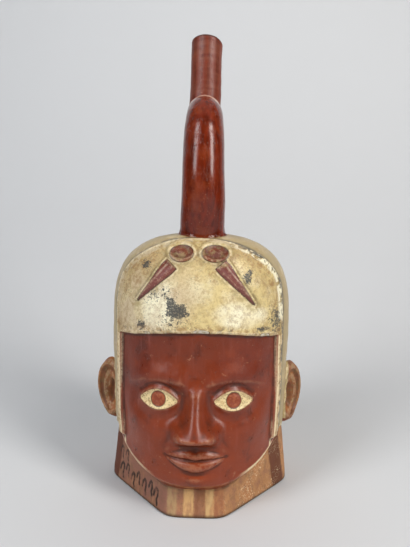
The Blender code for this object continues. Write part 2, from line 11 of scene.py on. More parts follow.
import bmesh
import bpy
import numpy as np
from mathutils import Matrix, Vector


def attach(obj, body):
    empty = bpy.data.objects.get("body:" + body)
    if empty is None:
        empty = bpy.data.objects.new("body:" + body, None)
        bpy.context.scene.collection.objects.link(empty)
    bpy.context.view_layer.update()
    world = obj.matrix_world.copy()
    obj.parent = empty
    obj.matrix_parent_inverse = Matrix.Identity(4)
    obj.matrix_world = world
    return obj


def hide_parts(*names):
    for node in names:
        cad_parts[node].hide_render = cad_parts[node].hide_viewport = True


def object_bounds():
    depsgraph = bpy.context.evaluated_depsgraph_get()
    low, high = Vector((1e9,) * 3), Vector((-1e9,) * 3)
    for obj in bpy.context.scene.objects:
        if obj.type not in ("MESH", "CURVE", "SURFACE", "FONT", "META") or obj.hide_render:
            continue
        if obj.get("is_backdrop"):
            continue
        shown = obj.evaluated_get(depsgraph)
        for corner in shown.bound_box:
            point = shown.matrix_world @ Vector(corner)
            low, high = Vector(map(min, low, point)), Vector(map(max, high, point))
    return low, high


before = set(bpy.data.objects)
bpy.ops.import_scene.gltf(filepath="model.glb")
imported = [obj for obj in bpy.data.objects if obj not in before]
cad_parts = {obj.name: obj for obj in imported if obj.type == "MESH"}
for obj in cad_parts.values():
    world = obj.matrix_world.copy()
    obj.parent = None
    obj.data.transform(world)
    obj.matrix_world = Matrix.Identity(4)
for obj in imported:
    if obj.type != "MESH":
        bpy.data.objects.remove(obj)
CAD_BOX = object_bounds()

# Head
HEAD_HEIGHT = 0.171         # underside to the top of the crown
HEAD_WIDTH = 0.1225         # across the temples, without the ears
HEAD_FRONT = 0.064          # vertical axis to the front of the face, without the nose
HEAD_BACK = 0.0645          # vertical axis to the back of the head
WALL = 0.005                # wall of the head chamber, which is also its floor
WIDEST = 0.68               # height of the widest level, as a share of HEAD_HEIGHT
HEAD_SQUARENESS = 2.12      # exponent of the head's plan: 2 is an ellipse
CROWN_SQUARENESS = 2.8      # exponent of the crown's rise at the sides
CROWN_FRONT_EXTRA = 0.4     # the crown's front is that much squarer, and its back that much rounder

# Cut-off neck, which ends in a faceted foot
BASE_WIDTH = 0.1234         # across the two side corners of the foot
BASE_FRONT = 0.0612         # vertical axis to the flat front of the foot
BASE_BACK = 0.062           # vertical axis to the back of the foot
BASE_FLAT = 0.033           # width of the flat front
BASE_CORNER_FORWARD = 0.010  # side corners, this far forward of the axis
BASE_BACK_FLAT = 0.064      # width of the flat back
BASE_CORNER_BACK = 0.016    # rear side corners, this far behind the axis
CORNER_POWER = 26.0         # how crisp the foot's corners are
EDGE_ROUND = 0.0012         # rounding of the foot's lower edge

# Outlines: height as a share of HEAD_HEIGHT, then half width, front and back as shares of the full sizes
HEAD_OUTLINE = (
    (0.06, 0.920, 0.940, 0.850),
    (0.12, 0.930, 0.960, 0.860),
    (0.21, 0.945, 0.985, 0.890),
    (0.35, 0.965, 1.000, 0.940),
    (0.455, 0.980, 1.000, 0.980),
    (0.55, 0.992, 0.992, 1.000),
    (0.68, 1.000, 0.985, 1.000),
)
NECK_OUTLINE = (
    (0.000, 1.000, 1.000, 1.000),
    (0.040, 0.990, 0.955, 0.965),
    (0.100, 0.978, 0.910, 0.935),
    (0.220, 0.955, 0.880, 0.905),
    (0.400, 0.945, 0.875, 0.900),
)

# Headcloth
CAP_EDGE = 0.1085           # height of the cap's edge over the middle of the forehead
CAP_EDGE_DROP = 0.0035      # the edge is that much lower at the temples
CAP_THICKNESS = 0.0018      # step of the front panel over the face
CAP_SEAM_STEP = 0.0012      # step of the front panel over the cloth behind it
SEAM_FORWARD = 0.0355       # the panel's seam, this far forward of the axis at the temples
SEAM_GAP = 0.0040           # on the crown the seam runs that far in front of the stirrup's leg
STRIP_WIDTH = 0.0055        # the strip that hangs before each ear reaches that far in front of the seam
CLOTH_LOW = 0.040           # lower edge of the cloth at the ears
CLOTH_NAPE = 0.050          # lower edge of the cloth at the nape
CLOTH_SOFT = 0.0008         # width over which an edge of the cloth rises

# Discs and tapering bands on the cap, seen from the front: across from the middle, and down from the crown
DISC_X = 0.0100
DISC_DOWN = 0.0162
DISC_HALF_WIDTH = {"left": 0.0082, "right": 0.0091}
DISC_HALF_HEIGHT = 0.0060
DISC_RIM = 0.0010           # relief of the rim
DISC_DISH = 0.0009          # depth of the dish
BAND_FOOT = {"left": (0.0160, 0.0232), "right": (0.0137, 0.0232)}
BAND_TIP = {"left": (0.0366, 0.0446), "right": (0.0336, 0.0462)}
BAND_WIDTH = 0.0084         # at the foot, from where it tapers to the tip
BAND_RELIEF = 0.0014
BAND_SOFT = 0.0008          # width over which a band's edge rises
BAND_RIDGE = 0.0012         # half width of the ridge along a band
CARVING_DEPTH = 0.010       # the carving of the front fades in over that much forward of the axis
FACE_FADE = 0.007           # the face's relief fades in over that much in front of the strips

# Face and jaw
CHIN = 0.0165               # height of the chin's lower edge
JAW_SIDE = 0.0565           # half width of the jaw's oval
JAW_MIDDLE = 0.058          # height of the oval's middle
JAW_ANGLE = 62.0            # degrees from the front at which the cloth covers the jaw
JAW_EAR = 0.040             # height of the head's lower edge below the ears
NAPE = 0.030                # height of the fold at the nape
JAW_SOFT = 0.0065           # height over which jaw turns into neck

# Ears
EAR_HEIGHT = 0.044
EAR_WIDTH = 0.0252
EAR_LEAN = 0.0045           # the ear's lower end is drawn in to the head by that much
EAR_THICKNESS = 0.0085
EAR_DROP = 0.0040           # middle of the ear, this far below the middle of the face
EAR_BACK = 0.0035           # middle of the ear, this far behind the axis
EAR_FLARE = {"left": 57.0, "right": 41.0}  # degrees that each ear stands off the side of the head
EAR_SUNK = 0.0063           # how far the ear's front edge is let into the head

# Stirrup
ARCH_RISE = 0.0964          # crown to the top of the stirrup's outer side
ARCH_HALF_SPAN = 0.041      # axis to the tube's middle where the legs are furthest apart
ARCH_FOOT = 0.028           # axis to the tube's middle where a leg meets the crown
ARCH_WIDE_RISE = 0.042      # crown to the level at which the legs are furthest apart
ARCH_SINK = 0.005           # a leg meets the crown's slope this far below its top
ARCH_ROUND = 2.3            # exponent of the arch's upper half
LEG_DIAMETER = 0.0295
CREST_DIAMETER = 0.0238
TUBE_WALL = 0.0045
FOOT_FLARE = 0.0012         # the clay swells that much where a leg meets the crown
FLARE_HEIGHT = 0.0040
STIRRUP_TURN = 2.0          # degrees that the stirrup is turned about the spout, its front to +X

# Spout
SPOUT_HEIGHT = 0.0446       # top of the stirrup to the lip
SPOUT_DIAMETER = 0.0222
SPOUT_FOOT_DIAMETER = 0.0232
SPOUT_BORE = 0.0150
SPOUT_LEAN = 1.2            # degrees to +X
LIP_TILT = 5.0              # degrees that the worn lip falls to +X
LIP_ROUND = 0.0022

# Mesh density
HEAD_SEGMENTS = 300
FRONT_CROWDING = 0.42       # 0 spreads the segments evenly, more crowds them at the face
EAR_SEGMENTS = 56
TUBE_SIDES = 48
BORE_SIDES = 24
SPOUT_SIDES = 72
ARCH_STEPS = 90
UPPER_SHARE = 0.645         # share of a leg's steps that lie in the arch's upper half
LEG_REACH = 1.35            # a leg runs into the crown by a third of its length below the widest level
INNER_SEGMENTS = 36

# Places that follow from the sizes above
ARCH_TOP = HEAD_HEIGHT + ARCH_RISE
ARCH_WIDE_Z = HEAD_HEIGHT + ARCH_WIDE_RISE
ARCH_FOOT_Z = HEAD_HEIGHT - ARCH_SINK
SPOUT_TOP = ARCH_TOP + SPOUT_HEIGHT
SPOUT_FOOT = ARCH_TOP - CREST_DIAMETER / 2   # the spout starts at the middle of the stirrup's tube
STRIP_FORWARD = SEAM_FORWARD + STRIP_WIDTH
EAR_MIDDLE = (CAP_EDGE + CHIN) / 2 - EAR_DROP

# The face is carved in units of its height's 92nd part, about a millimetre: z from the chin, x from mid-face
FACE_UNIT = (CAP_EDGE - CHIN) / 92
NOSE_BASE = 92 / 3          # the face's thirds: chin, base of the nose, brow, cap
BROW = 2 * 92 / 3
EYE_LEVEL = BROW - 8.8
MOUTH = NOSE_BASE - 92 / 9
EYE_WIDTH = 22.0            # also the gap between the eyes
UPPER_LID = 5.4             # how far each lid arches from the line of the eye
LOWER_LID = 4.0

NAME = "vessel"

# Fine mesh
SHOULDER = 50.0             # degrees up the crown, below which its rings are closer
TOP_RINGS = 26              # rings above the shoulder
CROWN_RINGS = 66            # rings between the shoulder and the widest level
WALL_RINGS = 152
FLOOR_RINGS = 5
SPOUT_RING_STEP = 0.0014    # height between the level rings cut into the spout

# Hand-formed clay
SWELL_HEIGHT = 0.00022      # low swells of the whole surface
SWELL_SIZE = 0.034
RIPPLE_HEIGHT = 0.00006     # finger-wide unevenness
RIPPLE_SIZE = 0.009
SWELL_WAVES = 9
GOLDEN_ANGLE = 2.399963     # spreads the waves' directions evenly
BUMP_HEIGHT = 0.00022       # fine relief that only the shader gives
CHIP_DEPTH = 0.0009
SEAM_ROLL = 0.0006          # height of the roll along the front panel's edge
SEAM_ROLL_MIDDLE = 0.0018   # its top, in front of the seam
SEAM_ROLL_WIDTH = 0.0013
RUB_AND_HIGHLIGHT_SLANT = 22.0            # degrees: the crest is rubbed, and has a painted highlight, where it turns up to the spout as steeply as this

# Chips in the cap's lower edge: x, half width, half height
CHIPS = ((0.0025, 0.0048, 0.0013), (0.0405, 0.0030, 0.0012), (-0.0300, 0.0022, 0.0010))
CHIP_UP = 0.0006            # middle of a chip over the edge

# Smoothing of the mesh, in rounds of averaging each point with its neighbours
JOINT_SPREAD = 6            # how far from a joint the clay is softened
JOINT_ROUNDS = 5            # how soft it gets
NEAR_ROUNDS = 10            # surroundings that a point's depth is measured against
WIDE_ROUNDS = 60            # broad form that is taken off that depth
ON_SURFACE = 0.0004         # points this close to the stirrup's or the spout's own surface belong to it
OFF_HEAD = 0.0009           # points further off the head than this, near an ear, belong to the ear

# Eyes, in face units
LID_EDGE = 1.0              # the painted white runs this far past the lids' opening
IRIS = 4.4                  # radius
IRIS_UP = 0.8               # its middle over the line of the eye

# Painted hooks on the neck: place along the facet, height of the foot, size, half width of the stroke
CURL_STROKE = (
    (-0.30, 0.42), (-0.22, 0.74), (-0.04, 0.95), (0.14, 0.86), (0.16, 0.52), (0.10, 0.22), (0.22, 0.00),
)
CURLS_TOP = 0.045           # no hook reaches higher
CURLS = (
    (0.0128, 0.0030, 0.0092, 0.00095), (0.0192, 0.0058, 0.0080, 0.00085), (0.0262, 0.0036, 0.0088, 0.00090),
    (0.0338, 0.0064, 0.0076, 0.00080), (0.0400, 0.0028, 0.0084, 0.00090), (0.0476, 0.0060, 0.0082, 0.00085),
    (0.0546, 0.0036, 0.0096, 0.00095), (0.0500, 0.0152, 0.0074, 0.00072), (0.0572, 0.0148, 0.0082, 0.00078),
)

# Soot and dark wear on the cap: x, z, half width, half height, slant, strength
SOOT = (
    (-0.0118, 0.1193, 0.0088, 0.0032, 0.0, 1.35), (-0.0152, 0.1240, 0.0034, 0.0058, -0.20, 1.30),
    (-0.0090, 0.1216, 0.0040, 0.0038, 0.25, 1.35), (-0.0122, 0.1216, 0.0044, 0.0036, 0.0, 1.40),
    (-0.0315, 0.1482, 0.0034, 0.0040, 0.0, 0.80),
    (0.0295, 0.1413, 0.0040, 0.0050, 0.20, 0.62), (-0.0332, 0.1123, 0.0040, 0.0036, 0.0, 0.80),
    (0.0478, 0.1150, 0.0052, 0.0095, 0.0, 0.62), (-0.0235, 0.1308, 0.0090, 0.0042, 0.30, 0.45),
    (0.0400, 0.1105, 0.0060, 0.0018, 0.0, 0.75), (-0.0130, 0.1150, 0.0080, 0.0036, 0.0, 0.30),
)

# Rubbed, paler slip with a painted highlight over it, listed in the same way
PALE = (
    (-0.0230, 0.1240, 0.0130, 0.0170, 0.0, 1.0), (0.0250, 0.1190, 0.0190, 0.0100, 0.0, 1.0),
    (0.0020, 0.1330, 0.0120, 0.0110, 0.0, 0.3),
)


def srgb(red, green, blue):
    """A colour given from 0 to 255, as the linear colour that the shader takes."""
    shares = [c / 255 for c in (red, green, blue)]
    linear = [c / 12.92 if c < 0.04045 else ((c + 0.055) / 1.055) ** 2.4 for c in shares]
    return (*linear, 1.0)


# Colours
RED = srgb(128, 51, 22)
RED_DEEP = srgb(114, 42, 20)
RED_DARK = srgb(80, 34, 22)
RED_ORANGE = srgb(143, 58, 22)
# painted sheen of the burnished red slip
RED_ROSE_SHEEN = srgb(162, 92, 82)
RED_PALE = srgb(196, 142, 108)
TUBE = srgb(118, 36, 8)
TUBE_DEEP = srgb(84, 22, 2)
TUBE_ORANGE = srgb(138, 56, 20)
TUBE_DARK = srgb(68, 24, 12)
# rubbed slip and painted highlight along the crest's outline by the spout
TUBE_WORN_AND_HIGHLIGHT = srgb(214, 172, 148)
SPOUT_CLAY = srgb(128, 66, 44)
CREAM = srgb(232, 216, 172)
CREAM_BRIGHT = srgb(254, 247, 216)
CREAM_PINK = srgb(216, 196, 162)
CREAM_YELLOW = srgb(222, 200, 142)
CREAM_TAN = srgb(186, 156, 104)
CREAM_OLIVE = srgb(166, 148, 98)
CREAM_BROWN = srgb(160, 124, 78)
CREAM_GREY = srgb(190, 172, 132)
CREAM_BACK = srgb(174, 154, 110)
CREAM_PALE = srgb(242, 222, 180)
CHIPPED = srgb(222, 214, 198)
STRIP = srgb(184, 148, 106)
# soot and dirt, also the painted shade in the groove behind the seam's step
SOOT_AND_SHADE_COLOUR = srgb(60, 62, 64)
NECK_TAN = srgb(176, 126, 82)
NECK_ROSE = srgb(146, 98, 80)
NECK_ORANGE = srgb(184, 122, 78)
NECK_DULL = srgb(126, 94, 68)
NECK_PALE = srgb(198, 156, 112)
NECK_BAND = srgb(92, 42, 22)
CURL = srgb(40, 26, 22)
EAR_BROWN = srgb(120, 68, 38)
EAR_ORANGE = srgb(166, 98, 50)
EAR_OLIVE = srgb(140, 112, 66)
TRIM = srgb(126, 62, 38)
TRIM_DARK = srgb(98, 44, 28)
TRIM_ROSE = srgb(124, 70, 66)
TRIM_PALE = srgb(180, 134, 114)
EYE_CREAM = srgb(232, 208, 156)
EYE_DULL = srgb(192, 158, 108)
EYE_SPECK = srgb(96, 74, 50)
IRIS_RED = srgb(134, 58, 30)
IRIS_LIGHT = srgb(160, 86, 52)
DIRT = srgb(46, 26, 18)
# warm dirt, also the painted shade along the foot's lower edge
WARM_DIRT_AND_SHADE = srgb(72, 50, 32)

# Neck stripes under the chin: from x, to x, colour, strength
STRIPES = (
    (-0.0165, -0.0105, srgb(180, 148, 104), 0.75), (-0.0066, -0.0005, srgb(212, 168, 112), 0.95),
    (-0.0005, 0.0064, srgb(134, 84, 54), 0.85), (0.0064, 0.0113, srgb(206, 170, 116), 0.8),
    (0.0113, 0.0172, srgb(146, 88, 58), 0.75),
)
STRIPE_SOFT = 0.0009        # half the width over which a stripe's side fades
BRUSH_WOBBLE = 0.0014       # how far the fine grain moves the edges of paint, end to end
BORDER_SWAY = 0.07          # how far broad noise moves the borders between colours, end to end

# Studio. Each light: name, place, target, size, watts, colour
SWEEP_WIDTH = 7.0
SWEEP_FRONT = 3.0
SWEEP_BACK = 0.26
SWEEP_ROUND = 0.22
SWEEP_TOP = 1.2
SWEEP_COLOUR = srgb(215, 216, 218)
LIGHTS = (
    ("left", (-0.66, -0.70, 0.78), (0.0, 0.0, 0.15), (0.34, 1.00), 8.2, (0.95, 0.975, 1.0)),
    ("right", (0.70, -0.66, 0.78), (0.0, 0.0, 0.15), (0.28, 1.00), 11.2, (1.0, 0.98, 0.945)),
    ("top", (0.0, 0.10, 1.15), (0.0, 0.0, 0.10), (0.80, 0.80), 0.5, (1.0, 1.0, 1.0)),
)
WORLD_COLOUR = srgb(230, 230, 230)
WORLD_STRENGTH = 0.10

# Camera
CAMERA_DISTANCE = 0.30      # from the vessel's axis
CAMERA_TURN = 2.0           # degrees round the vessel to +X
CAMERA_ASIDE = 0.002        # its distance from the plane through the axis, to +X
CAMERA_HEIGHT = 0.143
CAMERA_ROLL = -0.85         # degrees
CAMERA_FOCAL = 411.0        # in pixels of a picture that is PICTURE_HEIGHT high
PICTURE_HEIGHT = 547
SENSOR_HEIGHT = 36.0        # in millimetres; only its ratio to the lens counts


def ramp(t):
    """Smooth step from 0 to 1 as t goes from 0 to 1."""
    t = np.clip(t, 0.0, 1.0)
    return t * t * (3.0 - 2.0 * t)


def bell(distance, width):
    """Smooth bump: 1 in the middle, about a third at one width away."""
    return np.exp(-(distance / width) ** 2)


def through(rows, column, at):
    """Smooth curve through one column of an outline table, over the table's first column."""
    table = np.array(rows)
    knots, values = table[:, 0], table[:, column]
    slopes = np.gradient(values, knots)
    at = np.clip(at, knots[0], knots[-1])
    i = np.clip(np.searchsorted(knots, at) - 1, 0, len(knots) - 2)
    gap = knots[i + 1] - knots[i]
    t = (at - knots[i]) / gap
    start = (1 + 2 * t) * (1 - t) ** 2 * values[i] + t * (1 - t) ** 2 * gap * slopes[i]
    end = t * t * (3 - 2 * t) * values[i + 1] + t * t * (t - 1) * gap * slopes[i + 1]
    return start + end


def head_radius(angle, z):
    """Distance from the axis to the head's side at an angle from the front, without carving."""
    share = z / HEAD_HEIGHT
    half_width = through(HEAD_OUTLINE, 1, share) * HEAD_WIDTH / 2
    front = through(HEAD_OUTLINE, 2, share) * HEAD_FRONT
    back = through(HEAD_OUTLINE, 3, share) * HEAD_BACK
    depth = np.where(np.cos(angle) > 0, front, back)
    n = HEAD_SQUARENESS
    return ((np.abs(np.sin(angle)) / half_width) ** n + (np.abs(np.cos(angle)) / depth) ** n) ** (-1 / n)


def foot_edges():
    """Each straight side of the foot's plan as its outward normal and distance from the axis."""
    half = BASE_WIDTH / 2
    edges = [((0.0, -1.0), BASE_FRONT), ((0.0, 1.0), BASE_BACK), ((1.0, 0.0), half), ((-1.0, 0.0), half)]
    corners = (
        ((BASE_FLAT / 2, -BASE_FRONT), (half, -BASE_CORNER_FORWARD)),
        ((half, BASE_CORNER_BACK), (BASE_BACK_FLAT / 2, BASE_BACK)),
    )
    for (x0, y0), (x1, y1) in corners:
        length = sqrt((x1 - x0) ** 2 + (y1 - y0) ** 2)
        normal = ((y1 - y0) / length, (x0 - x1) / length)
        distance = x0 * normal[0] + y0 * normal[1]
        edges.append((normal, distance))
        edges.append(((-normal[0], normal[1]), distance))
    return edges


def neck_radius(angle, z):
    """Distance from the axis to the neck's side at an angle from the front."""
    share = z / HEAD_HEIGHT
    side = through(NECK_OUTLINE, 1, share)
    front = through(NECK_OUTLINE, 2, share)
    back = through(NECK_OUTLINE, 3, share)
    along_x, along_y = np.sin(angle), -np.cos(angle)
    total = np.zeros_like(angle)
    for (nx, ny), distance in foot_edges():
        scale = side * abs(nx) + (front if ny < 0 else back) * (1 - abs(nx))
        facing = np.maximum(nx * along_x + ny * along_y, 0.0)
        total = total + (facing / (distance * scale)) ** CORNER_POWER
    return total ** (-1 / CORNER_POWER)


def jaw_height(angle):
    """Height of the edge between head and neck: an oval jaw in front, a low curve round the nape."""
    limit = radians(JAW_ANGLE)
    aside = np.clip(np.sin(np.minimum(np.abs(angle), pi / 2)) * HEAD_WIDTH / 2 / JAW_SIDE, 0.0, 1.0)
    jaw = JAW_MIDDLE - (JAW_MIDDLE - CHIN) * (1 - aside ** 2.2) ** (1 / 2.2)
    nape = JAW_EAR + (NAPE - JAW_EAR) * ramp((np.abs(angle) - limit) / (pi - limit))
    return jaw + (nape - jaw) * ramp((np.abs(angle) - limit) / radians(10.0) + 0.5)


def cap_edge(x):
    """Height of the cap's lower edge over the forehead."""
    return CAP_EDGE - CAP_EDGE_DROP * ramp(np.abs(x) / (HEAD_WIDTH / 2))


def seam_forward(z):
    """How far forward of the axis the front panel's seam lies at a height."""
    top = ramp((z / HEAD_HEIGHT - 0.80) / 0.17)
    at_leg = ARCH_FOOT + LEG_DIAMETER / 2 + SEAM_GAP
    return SEAM_FORWARD + (at_leg - SEAM_FORWARD) * top


def low_edge(angle):
    """Height of the cloth's lower edge at the sides and the back."""
    return CLOTH_LOW + (CLOTH_NAPE - CLOTH_LOW) * ramp((np.abs(angle) - pi / 2) / (pi / 2))


def cloth_relief(x, y, z, angle):
    """Thickness of the headcloth: front panel, strips before the ears, and the cloth behind the seam."""
    above_edge = ramp((z - cap_edge(x)) / CLOTH_SOFT + 0.5)
    above_low = ramp((z - low_edge(angle)) / CLOTH_SOFT)
    beside_face = ramp((y + STRIP_FORWARD) / CLOTH_SOFT + 0.5)
    before_seam = ramp((-seam_forward(z) - y) / CLOTH_SOFT + 0.5)
    covered = np.maximum(above_edge, beside_face * above_low)
    return covered * (CAP_THICKNESS - CAP_SEAM_STEP * (1 - before_seam))


def by_side(x, pair):
    """The left value for points at -X, and the right one for the others."""
    return np.where(x < 0, pair["left"], pair["right"])


def disc_ring(x, z):
    """Place across the nearer disc: 0 in its middle and 1 at its rim."""
    across = (np.abs(x) - DISC_X) / by_side(x, DISC_HALF_WIDTH)
    upward = (z - HEAD_HEIGHT + DISC_DOWN) / DISC_HALF_HEIGHT
    return np.sqrt(across ** 2 + upward ** 2)


def disc_relief(x, z):
    """The two dished discs with a raised rim below the stirrup."""
    ring = disc_ring(x, z)
    return DISC_RIM * bell(ring - 0.92, 0.16) - DISC_DISH * ramp((0.80 - ring) / 0.3)


def band_place(x, z):
    """Place along and beside the nearer tapering band, the band's half width there, and its length."""
    foot_x, foot_down, tip_x, tip_down = [
        by_side(x, {side: ends[side][i] for side in ends}) for ends in (BAND_FOOT, BAND_TIP) for i in (0, 1)]
    dx, dz = tip_x - foot_x, foot_down - tip_down
    length = np.hypot(dx, dz)
    from_foot_x = np.abs(x) - foot_x
    from_foot_z = z - HEAD_HEIGHT + foot_down
    along = (from_foot_x * dx + from_foot_z * dz) / length
    aside = np.abs(from_foot_x * dz - from_foot_z * dx) / length
    return along, aside, BAND_WIDTH / 2 * np.clip(1.12 - along / length, 0.0, 1.0), length


def band_relief(x, z):
    """The two tapering bands that run down and out from the discs, each with a ridge along its middle."""
    along, aside, half, length = band_place(x, z)
    inside = ramp(along / BAND_SOFT + 0.5) * ramp((length - along) / BAND_SOFT + 0.5)
    edge = ramp((half - aside) / BAND_SOFT + 0.5)
    return BAND_RELIEF * inside * edge * (0.55 + 0.45 * bell(aside, BAND_RIDGE))


def brow_relief(x, z):
    """A brow ridge over each eye, soft above and crisp below."""
    arc = BROW + 3.2 * (1 - ((x - EYE_WIDTH) / 19) ** 2)
    width = np.where(z > arc, 7.5, 3.4)
    ends = ramp((x - 1) / 9) * ramp((48 - x) / 16)
    return 2.7 * bell(z - arc, width) * ends


def eye_relief(x, z):
    """Socket, eyeball, lids and the fold over the upper lid."""
    dx, dz = x - EYE_WIDTH, z - EYE_LEVEL
    half = EYE_WIDTH / 2
    socket = -4.0 * bell(dx + 1.0, 15.5) * bell(dz - 1.0, 10.5)
    ball = 4.9 * ramp((1.35 - np.hypot(dx / 12.5, dz / 9.0)) / 1.15)
    across = np.clip(1 - (dx / half) ** 2, 0.0, 1.0)
    upper, lower = UPPER_LID * across, -LOWER_LID * across
    opening = np.minimum(upper - dz, dz - lower)
    near = ramp((half + 3 - np.abs(dx)) / 4)
    thick = np.where(dz > 0, 1.4, 1.0)
    lids = thick * ramp(0.5 - opening / 0.7) * bell(np.minimum(opening, 0.0), 3.4) * near
    fold = -0.8 * bell(dz - upper - 4.2, 1.1) * near
    return socket + ball + lids + fold


def nose_relief(x, z):
    """Bridge, tip, wings and nostrils."""
    down = (BROW - z) / (BROW - NOSE_BASE)
    slope = 3.0 + 12.6 * np.clip(down, 0.0, 0.86) ** 1.15
    height = slope * ramp((down + 0.18) / 0.35) * (1 - ramp((down - 0.86) / 0.26))
    half = 5.0 + 5.0 * np.clip(down, 0.0, 1.0) ** 1.6
    bridge = height * np.exp(-(x / half) ** 2.6)
    wing = 6.8 * bell(x - 9.8, 4.3) * bell(z - NOSE_BASE - 4.4, 4.8)
    nostril = -2.6 * bell(x - 5.4, 2.3) * bell(z - NOSE_BASE - 0.2, 1.5)
    return bridge + wing + nostril


def lip(share, reach):
    """Rounded lip over its share of the way from the mouth's line, up to reach."""
    return np.sin(np.clip(share / reach, 0.0, 1.0) * pi) ** 0.7


def mouth_relief(x, z):
    """Closed lips on the soft swell around the mouth."""
    half = 18.0
    across = np.clip(1 - (x / half) ** 2, 0.0, 1.0)
    above = z - MOUTH - 0.7 * (x / half) ** 2 + 0.35 * bell(x, 3.0)
    upper = 1.9 * lip(above / np.maximum(4.4 * across * (1 - 0.20 * bell(x, 2.4)), 0.001), 1.25)
    lower = 2.5 * lip(-above / np.maximum(5.2 * across, 0.001), 1.3)
    swell = 3.6 * bell(x, 20) * bell(z - MOUTH - 1, 13.0)
    groove = -0.9 * bell(above, 0.75) * ramp((half + 1.5 - x) / 4)
    corner = -0.9 * bell(x - half, 3.0) * bell(z - MOUTH - 0.8, 2.4)
    philtrum = -0.6 * bell(x, 1.9) * ramp((z - MOUTH - 4.0) / 2) * ramp((MOUTH + 9.8 - z) / 2)
    return swell + (upper + lower) * across ** 0.6 + groove + corner + philtrum


def chin_relief(x, z):
    """Chin, and the furrow between it and the lower lip."""
    chin = 4.8 * bell(x, 13.0) * bell(z - MOUTH / 2 + 2.0, 7.8)
    furrow = -1.2 * bell(x, 10.0) * bell(z - MOUTH + 8.0, 2.2)
    return chin + furrow


def cheek_relief(x, z):
    """Full cheeks with a faint fold between them and the mouth, and hollow temples."""
    cheek = 3.6 * bell(x - 31, 14.0) * bell(z - NOSE_BASE - 6, 13.0)
    fold = -0.5 * bell((x - 15.5) * 0.85 + (z - NOSE_BASE - 1) * 0.52, 2.0) * bell(z - NOSE_BASE + 3, 7)
    temple = -1.4 * bell(x - 48, 8.0) * bell(z - BROW - 8, 12.0)
    return cheek + fold + temple


def face_relief(x, z):
    """How far the carving of the face stands forward of the plain head."""
    across, up = np.abs(x) / FACE_UNIT, (z - CHIN) / FACE_UNIT
    inside = ramp((up + 1) / 6) * ramp((92 - up) / 4)
    carving = brow_relief(across, up) + eye_relief(across, up) + nose_relief(across, up)
    carving = carving + mouth_relief(across, up) + chin_relief(across, up) + cheek_relief(across, up)
    return carving * inside * FACE_UNIT


def outer_point(angle, z, shrink, rise):
    """Point of the head's outer side: shrink draws it to the axis, rise lifts it over the widest level."""
    jaw = jaw_height(angle)
    head_share = ramp((z - jaw) / JAW_SOFT + 0.5)
    neck, head = neck_radius(angle, z), head_radius(angle, z)
    radius = (neck + (head - neck) * head_share) * shrink
    x, y = radius * np.sin(angle), -radius * np.cos(angle)
    z = z + rise
    cloth = cloth_relief(x, y, z, angle)
    front = ramp(-y / CARVING_DEPTH)
    cloth = cloth + front * (disc_relief(x, z) + band_relief(x, z) + chip_relief(x, z))
    cloth = cloth + front * rolled_seam(y, z)
    before_strip = ramp((-y - STRIP_FORWARD) / FACE_FADE)
    up = np.clip(z / HEAD_HEIGHT - WIDEST, 0.0, 1.0) * HEAD_HEIGHT
    crown = HEAD_HEIGHT * (1 - WIDEST)
    normal = np.array([x / (HEAD_WIDTH / 2) ** 2, y / HEAD_FRONT ** 2, up / crown ** 2])
    normal = normal / np.maximum(np.linalg.norm(normal, axis=0), 1e-9)
    point = np.array([x, y, z]) + cloth * normal
    point[1] -= before_strip * face_relief(x, z) * shrink
    return point


def crown_factors(angle, beta):
    """Shrink and rise on the crown: beta runs from 0 at the widest level to a right angle at the top."""
    n = CROWN_SQUARENESS + CROWN_FRONT_EXTRA * np.cos(angle) * np.abs(np.cos(angle))
    reach = (np.cos(beta) ** n + np.sin(beta) ** n) ** (-1 / n)
    return reach * np.cos(beta), reach * np.sin(beta) * HEAD_HEIGHT * (1 - WIDEST)


def ring_plan(wall_rings, crown_rings, floor_rings):
    """Rings from the crown's top to the middle of the underside, each as a kind and a place along it."""
    plan = [("crown", pi / 2 * (1 - i / crown_rings)) for i in range(crown_rings)]
    plan += [("wall", 1 - i / wall_rings) for i in range(wall_rings + 1)]
    plan += [("floor", 1 - i / floor_rings) for i in range(1, floor_rings + 1)]
    return plan


def rows_of(mesh, name):
    """The points' coordinates, or their normals, as rows of three numbers."""
    values = np.empty(len(mesh.vertices) * 3, dtype=np.float32)
    mesh.vertices.foreach_get(name, values)
    return values.reshape(-1, 3).astype(float)


def move_points(mesh, points):
    mesh.vertices.foreach_set("co", np.ascontiguousarray(points, dtype=np.float32).ravel())
    mesh.update()


def keep_mesh(bm, mesh):
    bm.to_mesh(mesh)
    bm.free()


def sphere_rings(name, segments, rings):
    """A UV sphere and, for each of its points, its ring from the top and its angle from the front."""
    mesh = bpy.data.meshes.new(name)
    bm = bmesh.new()
    bmesh.ops.create_uvsphere(bm, u_segments=segments, v_segments=rings, radius=1.0)
    keep_mesh(bm, mesh)
    points = rows_of(mesh, "co")
    ring = np.rint(np.arccos(np.clip(points[:, 2], -1, 1)) / pi * rings).astype(int)
    angle = np.arctan2(points[:, 0], -points[:, 1])
    return mesh, ring, angle


def shape_sphere(name, segments, plan, low, high, place):
    """A UV sphere whose rings are moved, by the plan, to where place(angle, z, shrink, rise) says."""
    mesh, ring, angle = sphere_rings(name, segments, len(plan) - 1)
    angle = angle - FRONT_CROWDING * np.sin(angle)
    kinds = np.array([kind for kind, _ in plan])[ring]
    places = np.array([value for _, value in plan])[ring]
    beta = np.where(kinds == "crown", places, 0.0)
    shrink, rise = crown_factors(angle, beta)
    rise = rise * (high - low) / HEAD_HEIGHT
    z = np.where(kinds == "crown", 1.0, np.where(kinds == "wall", places, 0.0))
    z = low + z * WIDEST * (high - low)
    shrink = np.where(kinds == "floor", places, shrink)
    move_points(mesh, place(angle, z, shrink, rise).T)
    return mesh


